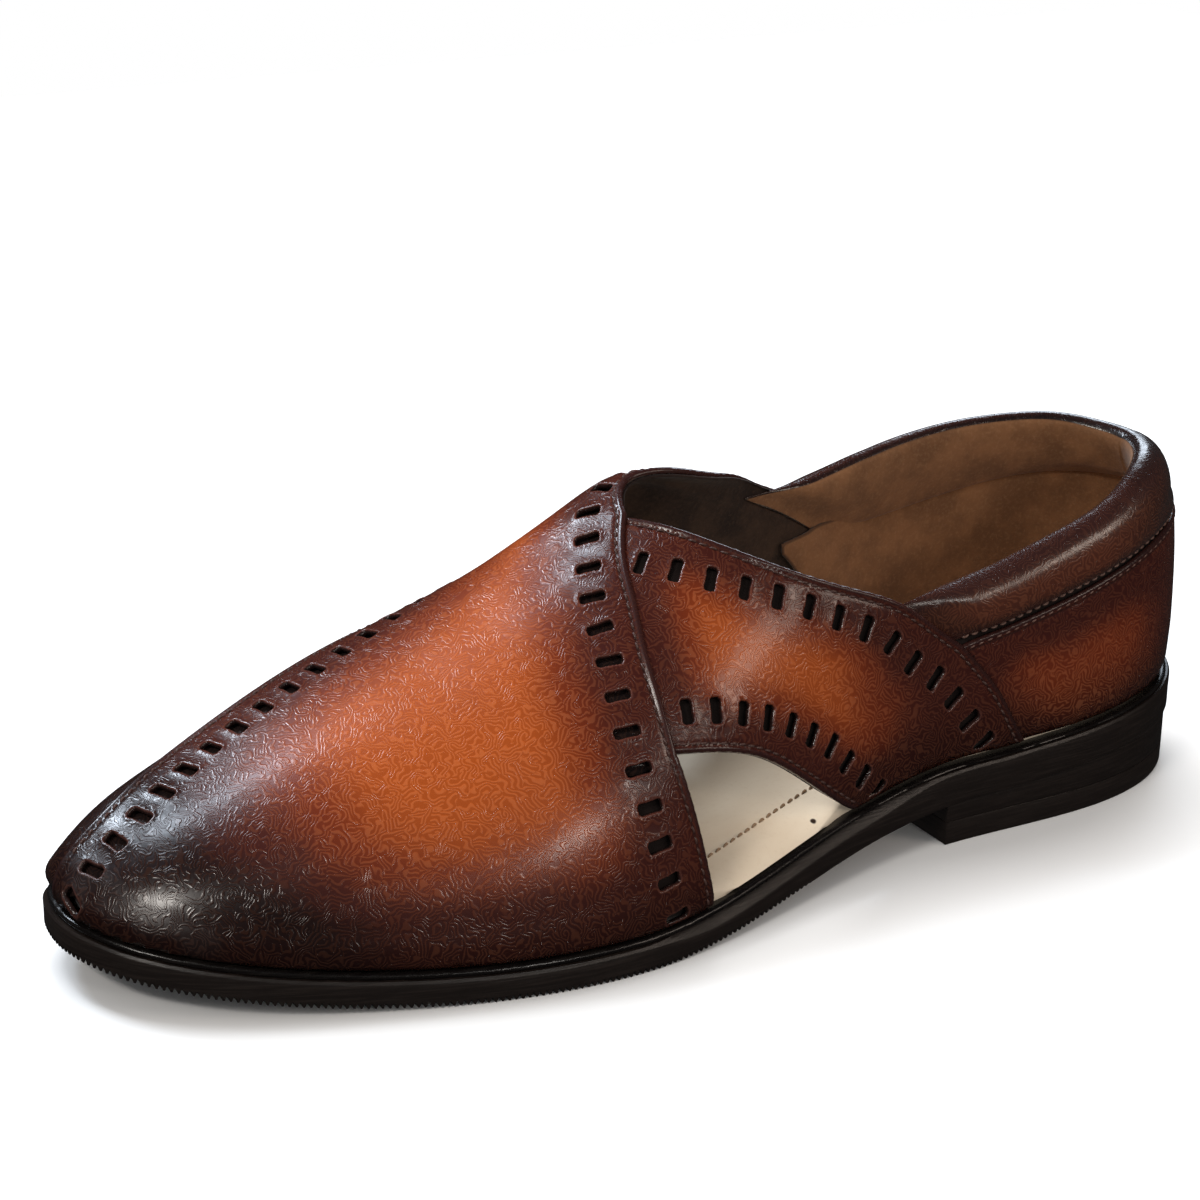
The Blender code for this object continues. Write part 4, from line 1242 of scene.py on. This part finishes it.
def collar_roll():
    lateral = collar_half(OUTER_SEAM, OUTER_COLLAR_TOP, UNDER_TOP, 1.0)
    medial = collar_half(INNER_SEAM, INNER_COLLAR_TOP, OVER_TOP, -1.0)
    rings = lateral[::-1] + medial[1:]
    count = COLLAR_AROUND
    where, rise, out = collar_section(count)
    faces = bands(count, upwards(rings))
    looks = [int(at >= COLLAR_SUEDE_FROM) for at in where] * (len(rings) - 1) + [0] * (2 * count)
    ends = [rings[0].mean(axis=0), rings[-1].mean(axis=0)]
    points = np.concatenate([*rings, ends])
    for start, centre in ((0, len(points) - 2), ((len(rings) - 1) * count, len(points) - 1)):
        faces += [[start + i, start + (i + 1) % count, centre] for i in range(count)]
    crown = 0.95 * smooth((rise - 0.50) / 0.36)
    seam = 0.75 * smooth((0.26 - rise) / 0.2)
    dark = np.where(out > -3.0, together(crown, seam), 1.2)
    along = np.abs(np.linspace(-1.0, 1.0, len(rings)))
    by_back = 0.75 * smooth((0.62 - along) / 0.45) + 0.6 * smooth((along - 0.86) / 0.12)
    dark = together(np.tile(dark, len(rings)), np.repeat(by_back, count))
    dark = np.concatenate([np.minimum(dark, 1.3), [1.0, 1.0]])
    far = np.full(len(points), FAR)
    edge = np.where(where > COLLAR_SUEDE_FROM, np.abs(where - COLLAR_SUEDE_FROM) * 2.4, FAR)
    edge = np.concatenate([np.tile(edge, len(rings)), [FAR, FAR]])
    values = {"edge": edge, "hole": far, "foot": far, "dark": dark, "under": np.ones(len(points))}
    return make_object("collar_roll", points, faces, [COLLAR_LOOK, SUEDE_LOOK], values, looks), rings


collar, collar_rings = collar_roll()

# ---------------------------------------------------------------- stitches

STITCH_LENGTH = 1.95
STITCH_PITCH = 2.55
STITCH_RADIUS = 0.31
STITCH_LEAN = 0.10
STITCH_SIDES = 6
STITCH_START = 0.5
STITCH_LINE_STEP = 0.6
STITCH_PROFILE = (
    (0.00, -0.45, 0.35), (0.10, -0.06, 0.80), (0.30, 0.12, 1.00), (0.50, 0.16, 1.00),
    (0.70, 0.12, 1.00), (0.90, -0.06, 0.80), (1.00, -0.45, 0.35),
)


def stitch_run(points, normals):
    """Stitches along a line of close points, as (points, faces)."""
    run = arc_length(points)
    made = []
    faces = []
    turns = np.arange(STITCH_SIDES) * 2.0 * math.pi / STITCH_SIDES
    rows = len(STITCH_PROFILE)
    for number in range(int((run[-1] - 0.6) / STITCH_PITCH)):
        start = STITCH_START + number * STITCH_PITCH + RANDOM.normal(0.0, 0.05)
        slant = STITCH_LEAN + RANDOM.normal(0.0, 0.03)
        first = len(made)
        for part, height, radius in STITCH_PROFILE:
            at = start + part * STITCH_LENGTH
            here = sample(at, run, points)
            out = sample(at, run, normals)
            out /= np.linalg.norm(out)
            side = np.cross(out, sample(at + 0.2, run, points) - here)
            side /= max(np.linalg.norm(side), 1e-9)
            centre = here + out * height + side * slant * (part - 0.5) * STITCH_LENGTH
            for a in turns:
                made.append(centre + STITCH_RADIUS * radius * (math.cos(a) * side + math.sin(a) * out))
        last = first + (rows - 1) * STITCH_SIDES
        for low in range(first, last, STITCH_SIDES):
            faces += band(low, low + STITCH_SIDES, STITCH_SIDES)
        faces.append([first + i for i in reversed(range(STITCH_SIDES))])
        faces.append([last + i for i in range(STITCH_SIDES)])
    return made, faces


def stitch_piece(name, runs, look):
    points = []
    faces = []
    for run in runs:
        made, own = stitch_run(*run)
        faces += [[i + len(points) for i in face] for face in own]
        points += made
    return make_object(name, points, faces, [look])


def stitch_line(chart, line, lift, inset=STITCH_INSET, cut=1.0):
    """Points and normals of a stitch line inside a finished edge."""
    base = spaced(chart, line, STITCH_LINE_STEP, cut)
    uv = shift(chart, base, inwards(chart, base), inset)
    points = chart.point(uv)
    normals = chart.normal(uv)
    out = lift(chart.vamp(uv), points) - 0.5 * STITCH_GROOVE
    return points + normals * out[:, None], normals


def ring_line(index, ends=6):
    """The line and the outward directions of one point of the collar's rings."""
    rings = np.array(collar_rings)
    line = rings[:, index]
    out = np.cross(rings[:, (index + 1) % COLLAR_AROUND] - rings[:, index - 1], np.gradient(line, axis=0))
    out *= np.sign((out * (line - rings.mean(axis=1))).sum(1, keepdims=True))
    out = out[ends:-ends]
    return line[ends:-ends], out / np.linalg.norm(out, axis=1, keepdims=True)


over_rim = np.concatenate([OVER_FRONT, OVER_REAR[1:], OVER_TOP[1:], OVER_BACK[1:]])
over_low = np.concatenate([OVER_ARCH[::-1], OVER_INNER[::-1][1:]])
under_rim = np.concatenate([UNDER_BACK[::-1], UNDER_TOP[::-1][1:]])
stitches_over = stitch_piece(
    "stitches_over", [stitch_line(VampChart, line, over_lift) for line in (over_rim, over_low[:-20])],
    THREAD_LOOK)
stitches_under = stitch_piece(
    "stitches_under",
    [stitch_line(VampChart, line, under_lift) for line in (under_rim, UNDER_ARCH, UNDER_FRONT)],
    THREAD_LOOK)
stitches_counter = stitch_piece(
    "stitches_counter", [stitch_line(HeelChart, counter_top[20:-20], counter_lift, 1.25)], LIT_SEAM_THREAD)
flange = int(np.argmin(np.abs(collar_section(COLLAR_AROUND)[0] - 0.30)))
stitches_collar = stitch_piece("stitches_collar", [ring_line(flange)], LIT_SEAM_THREAD)

# ---------------------------------------------------------------- sole, heel, welt and insole


def ring(inset, height, t):
    """A closed ring of points: the outsole's outline moved inwards, with heights given per t."""
    inset = np.broadcast_to(inset, t.shape)
    outer, inner = (
        np.concatenate([LAST.edge(t, side, inset), height(t)[:, None]], -1) for side in (1, -1))
    return np.concatenate([outer, inner[-2:0:-1]])


def ladder(first, count):
    """A cap over a closed ring, in rungs from its outer side to its inner one."""
    faces = [[first, first + 1, first + count - 1]]
    for i in range(1, (count - 1) // 2):
        faces.append([first + i, first + i + 1, first + count - i - 1, first + count - i])
    if count % 2 == 0:
        faces.append([first + count // 2 + i for i in (-1, 0, 1)])
    return faces


def stack(name, rings, look, sharp=40):
    """A solid from rings of equal count, from the bottom up."""
    count = len(rings[0])
    faces = [face[::-1] for face in ladder(0, count)] + ladder(count * (len(rings) - 1), count)
    faces += bands(count, upwards(rings))
    return make_object(name, np.concatenate(rings), faces, [look], sharp=sharp)


TREAD_PITCH = 1.5
TREAD_DEPTH = 1.0
TREAD_FROM = 0.44
TREAD_RUN = 0.05
TREAD_STEPS = 4
tread_start = LAST.at(TREAD_FROM)


def fine_positions(step=0.9):
    """Positions round the outline: every quarter rib on the tread, further apart behind it."""
    behind = np.arange(0.0, tread_start, step)
    return np.concatenate([
        behind, np.arange(tread_start, LAST.end, TREAD_PITCH / TREAD_STEPS), [LAST.end]])


def outsole_fine():
    t = fine_positions()
    station = LAST.station(t)
    number = np.round((t - tread_start) / (TREAD_PITCH / TREAD_STEPS)).astype(int)
    tooth = np.where(number % TREAD_STEPS < 2, 0.0, 1.0)
    tooth = tooth * TREAD_DEPTH * smooth((station - TREAD_FROM) / TREAD_RUN)
    from_ball = smooth((BALL_STATION - station) / BEVEL_RUN)
    from_breast = smooth((station - BREAST_STATION) / BEVEL_RUN)
    bevel = LEAST_BEVEL + (WAIST_BEVEL - LEAST_BEVEL) * from_ball * from_breast
    low = sole_bottom(LAST.x(t))
    high = sole_top(LAST.x(t))
    return stack("outsole_edge", [ring(inset, lambda _: height, t) for inset, height in (
        (0.45, low + 0.0 + tooth),
        (0.12, low + 0.05 + tooth),
        (0.0, low + 0.30 + tooth),
        (0.0, low + 1.25),
        (0.04, 0.5 * (low + high)),
        (0.0, high - 0.25 - bevel),
        (0.10 + 0.05 * bevel, high - 0.02 - bevel * 0.92),
        (bevel * 0.55 + 0.12, high - bevel * 0.38),
        (bevel, high),
    )], SOLE_LOOK, 50)


HEEL_RIBS = 121
HEEL_CROWDING = 1.1


def heel_layer(name, levels):
    """A heel layer from (inset, height function) levels, from the bottom up."""
    t = LAST.at(BREAST_STATION) * np.linspace(0.0, 1.0, HEEL_RIBS) ** HEEL_CROWDING
    rings = []
    for inset, height in levels:
        inset_here = np.full(t.shape, HEEL_INSET + inset)
        flat = np.concatenate([LAST.edge(t, 1, inset_here), LAST.edge(t, -1, inset_here)[:0:-1]])
        flat[:, 0] = np.minimum(flat[:, 0], BREAST_STATION * LENGTH - inset)
        rings.append(np.concatenate([flat, height(flat[:, 0])[:, None]], -1))
    return stack(name, rings, SOLE_LOOK)


def level(z):
    return lambda x: np.full(x.shape, z)


def under_sole(down):
    return lambda x: sole_bottom(x) - down


heel_top = heel_layer("heel_top", (
    (0.40, level(0.0)), (0.10, level(0.08)), (0.0, level(0.45)), (0.0, level(5.80)),
    (0.08, level(5.96)), (0.4, level(6.0))))
heel_lifts = heel_layer("heel_lifts", (
    (0.4, level(6.05)), (0.06, level(6.10)), (0.0, level(6.25)),
    (0.03, lambda x: 0.5 * (6.4 + sole_bottom(x))),
    (0.0, under_sole(0.25)), (0.06, under_sole(0.10)), (0.4, under_sole(0.05))))
outsole = outsole_fine()


EDGE_STEP = 1.2
WOBBLE_RUN = 9


def welt_strip():
    t = fine_positions(EDGE_STEP)
    kernel = np.hanning(WOBBLE_RUN) / np.hanning(WOBBLE_RUN).sum()
    wobble = np.convolve(RANDOM.normal(0.0, 1.0, len(t)), kernel, "same")
    wobble[:2] = 0.0
    wobble[-2:] = 0.0
    far = WELT_INSET + WELT_WIDTH
    profile = (
        (WELT_INSET + 0.25, GAP - 0.25), (WELT_INSET, GAP + 0.25), (WELT_INSET + 0.05, GAP + 0.9),
        (WELT_INSET + 0.4, GAP + 1.35), (WELT_INSET + 1.1, GAP + 1.6), (WELT_INSET + 2.4, GAP + 1.62),
        (far - 0.6, GAP + 1.6), (far, GAP + 1.3), (far, GAP - 0.2),
    )
    lower = 0.80 - 0.35 * smooth((0.46 - LAST.station(t)) / 0.10)
    rings = []
    for inset, height in profile:
        part = 0.07 if height > GAP + 0.5 else 0.0
        z = sole_top(LAST.x(t)) + height * lower + part * wobble
        rings.append(ring(inset + part * wobble, lambda _: z, t))
    around = bands(len(rings[0]), zip(range(len(rings)), [*range(1, len(rings)), 0]))
    return make_object("welt_strip", np.concatenate(rings), around, [WELT_LOOK], sharp=50)


welt = welt_strip()

FEATHER_FROM = 0.402
FEATHER_TO = 0.556
FEATHER_RUN = 0.035
FEATHER_INSET = 2.7
INSOLE_TO_LINING = 2.6
INSOLE_STITCH_INSET = 7.5
INSOLE_END = 0.985


def insole_inset(t):
    return UPPER_INSET + LAST.tuck(t) + UPPER_WALL + 2.0 * GAP


def insole_top(t):
    return sole_top(LAST.x(t)) + GAP + INSOLE_THICKNESS


def insole_cover():
    """The insole runs out over the welt, thinned to a feather, where no upper stands on it, and
    reaches into the linings elsewhere."""
    t = fine_positions(EDGE_STEP)
    t = np.concatenate([t[t < LAST.at(INSOLE_END)][::2], [LAST.end]])
    station = LAST.station(t)
    open_here = smooth((station - FEATHER_FROM) / FEATHER_RUN)
    open_here = open_here * smooth((FEATHER_TO - station) / FEATHER_RUN)
    inset = insole_inset(t)
    reach = open_here * (inset - FEATHER_INSET)
    inset = inset - INSOLE_TO_LINING * (1.0 - open_here) * smooth((0.66 - station) / 0.05)
    fall = open_here * (INSOLE_THICKNESS - WELT_THICKNESS - 0.55)
    high = insole_top(t)
    low = high - INSOLE_THICKNESS
    return stack("insole_cover", [ring(inwards_by, lambda _: height, t) for inwards_by, height in (
        (inset + 0.5, low),
        (inset - 0.92 * reach, low + open_here * (WELT_THICKNESS + 0.1)),
        (inset - reach, high - INSOLE_EDGE - fall + 0.45 * open_here),
        (inset - 0.94 * reach + 0.12, high - 0.40 - 0.86 * fall + 0.20 * open_here),
        (inset - 0.55 * reach + 0.40, high - 0.12 - 0.42 * fall),
        (inset + INSOLE_EDGE + 0.6, high - 0.12 * fall),
        (inset + INSOLE_EDGE + 3.0, high),
    )], INSOLE_LOOK, 60)


def insole_stitches():
    t = np.arange(LAST.at(0.02), LAST.at(0.90), STITCH_LINE_STEP)
    runs = []
    for side in (1, -1):
        flat = LAST.edge(t, side, insole_inset(t) + INSOLE_STITCH_INSET)
        line = np.concatenate([flat, (insole_top(t) + 0.02)[:, None]], -1)
        runs.append((line, np.tile([0.0, 0.0, 1.0], (len(t), 1))))
    return stitch_piece("stitches_insole", runs, CREAM_THREAD)


insole = insole_cover()
insole_thread = insole_stitches()

# ---------------------------------------------------------------- what rides and what it replaces

for pieces, node, slot in (
    ((panel_over, panel_under, counter, lining_straps, lining_counter), "upper", "burnished_leather"),
    ((collar,), "collar_pad", "padded_leather"),
    ((stitches_over, stitches_under, stitches_counter), None, "burnished_leather"),
    ((stitches_collar,), None, "padded_leather"),
    ((heel_top,), "heel_top_piece", "top_piece_rubber"),
    ((heel_lifts,), "heel_base", "sole_leather"),
    ((outsole,), "outsole", "sole_leather"),
    ((welt,), "welt", "edge_dressing"),
    ((insole,), "insole", "insole_leather"),
    ((insole_thread,), None, "insole_leather"),
):
    for piece in pieces:
        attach(piece, "root")
        if node:
            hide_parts(node)

# ---------------------------------------------------------------- floor, light and camera

FLOOR_REACH = 1.0
CAMERA_ANGLES = (29.89, 21.16, 0.86)
CAMERA_TARGET = (-0.02201, -0.07386, 0.035)
CAMERA_DISTANCE = 0.6966
FOCAL_PIXELS = 2663.35
PHOTO_PIXELS = 1200.0
SENSOR = 36.0
SUN_DIRECTION = (-0.10, -0.42, 0.90)
SUN_POWER = 2.45
SUN_WIDTH = 42.0
WORLD_STRENGTH = 0.42
WORLD_IN_GLOSS = 0.02
LIGHT_TARGET = (0.0, 0.0, 0.04)
LIGHT_DISTANCE = 1.3
COOL = (0.78, 0.88, 1.0)
WARM = (1.0, 0.95, 0.89)
AMBER = (1.0, 0.84, 0.72)
LIGHTS = (
    ("back_strip", (0.35, -0.63, 0.69), (0.28, 0.20), 6.2, COOL),
    ("toe_box", (0.68, 0.33, 0.66), (0.30, 0.13), 4.4, WARM),
    ("front_box", (-0.08, 0.88, 0.47), (0.20, 0.13), 1.5, WARM),
    ("side_box", (-0.54, 0.66, 0.52), (0.46, 0.22), 1.9, AMBER),
    ("top_box", (0.30, -0.40, 0.87), (0.24, 0.16), 2.6, COOL),
    ("rear_box", (-0.70, -0.65, 0.50), (0.40, 0.40), 2.5, COOL),
)


def floor():
    data = bpy.data.meshes.new("floor")
    corners = [(x * FLOOR_REACH, y * FLOOR_REACH, 0) for x, y in ((-1, -1), (1, -1), (1, 1), (-1, 1))]
    data.from_pydata(corners, [], [(0, 1, 2, 3)])
    data.materials.append(Nodes("floor_white").finish(
        Base_Color=(0.90, 0.90, 0.90), Roughness=0.6, Specular_IOR_Level=0.2))
    made = link("floor", data)
    made.visible_glossy = False
    made.visible_diffuse = False


def camera():
    azimuth, elevation, roll = (math.radians(angle) for angle in CAMERA_ANGLES)
    back = Vector((
        math.sin(azimuth) * math.cos(elevation), math.cos(azimuth) * math.cos(elevation),
        math.sin(elevation)))
    level_right = Vector((0, 0, 1)).cross(back).normalized()
    level_up = back.cross(level_right)
    right = level_right * math.cos(roll) + level_up * math.sin(roll)
    up = level_up * math.cos(roll) - level_right * math.sin(roll)
    data = bpy.data.cameras.new("camera")
    data.sensor_width = SENSOR
    data.lens = SENSOR * FOCAL_PIXELS / PHOTO_PIXELS
    data.clip_start = 0.01
    made = link("camera", data)
    place = Vector(CAMERA_TARGET) + back * CAMERA_DISTANCE
    made.matrix_world = Matrix(((*right, 0), (*up, 0), (*back, 0), (*place, 1))).transposed()
    bpy.context.scene.camera = made


def lights():
    data = bpy.data.lights.new("sky_softbox", "SUN")
    data.energy = SUN_POWER
    data.angle = math.radians(SUN_WIDTH)
    sun = link("sky_softbox", data)
    sun.rotation_euler = Vector(SUN_DIRECTION).to_track_quat("Z", "Y").to_euler()
    sun.visible_glossy = False
    for name, direction, size, power, colour in LIGHTS:
        data = bpy.data.lights.new(name, "AREA")
        data.shape = "RECTANGLE"
        data.size, data.size_y = size
        data.energy = power
        data.color = colour
        made = link(name, data)
        made.location = Vector(direction).normalized() * LIGHT_DISTANCE
        made.rotation_euler = (Vector(LIGHT_TARGET) - made.location).to_track_quat("-Z", "Y").to_euler()


def studio():
    """A white world that lights the shoe softly and shows as a dark grey in its reflections."""
    world = bpy.data.worlds.new("studio")
    world.use_nodes = True
    tree = world.node_tree
    background = tree.nodes["Background"]
    background.inputs["Color"].default_value = (1.0, 1.0, 1.0, 1.0)
    path, strength, seen = (
        tree.nodes.new("ShaderNode" + kind) for kind in ("LightPath", "MapRange", "Math"))
    strength.inputs["To Min"].default_value = WORLD_STRENGTH
    strength.inputs["To Max"].default_value = WORLD_IN_GLOSS
    seen.operation = "MAXIMUM"
    for start, end in (
        (path.outputs["Is Glossy Ray"], strength.inputs["Value"]),
        (strength.outputs[0], seen.inputs[0]),
        (path.outputs["Is Camera Ray"], seen.inputs[1]),
        (seen.outputs[0], background.inputs["Strength"]),
    ):
        tree.links.new(start, end)
    bpy.context.scene.world = world


floor()
camera()
lights()
studio()
bpy.context.scene.view_settings.view_transform = "Standard"
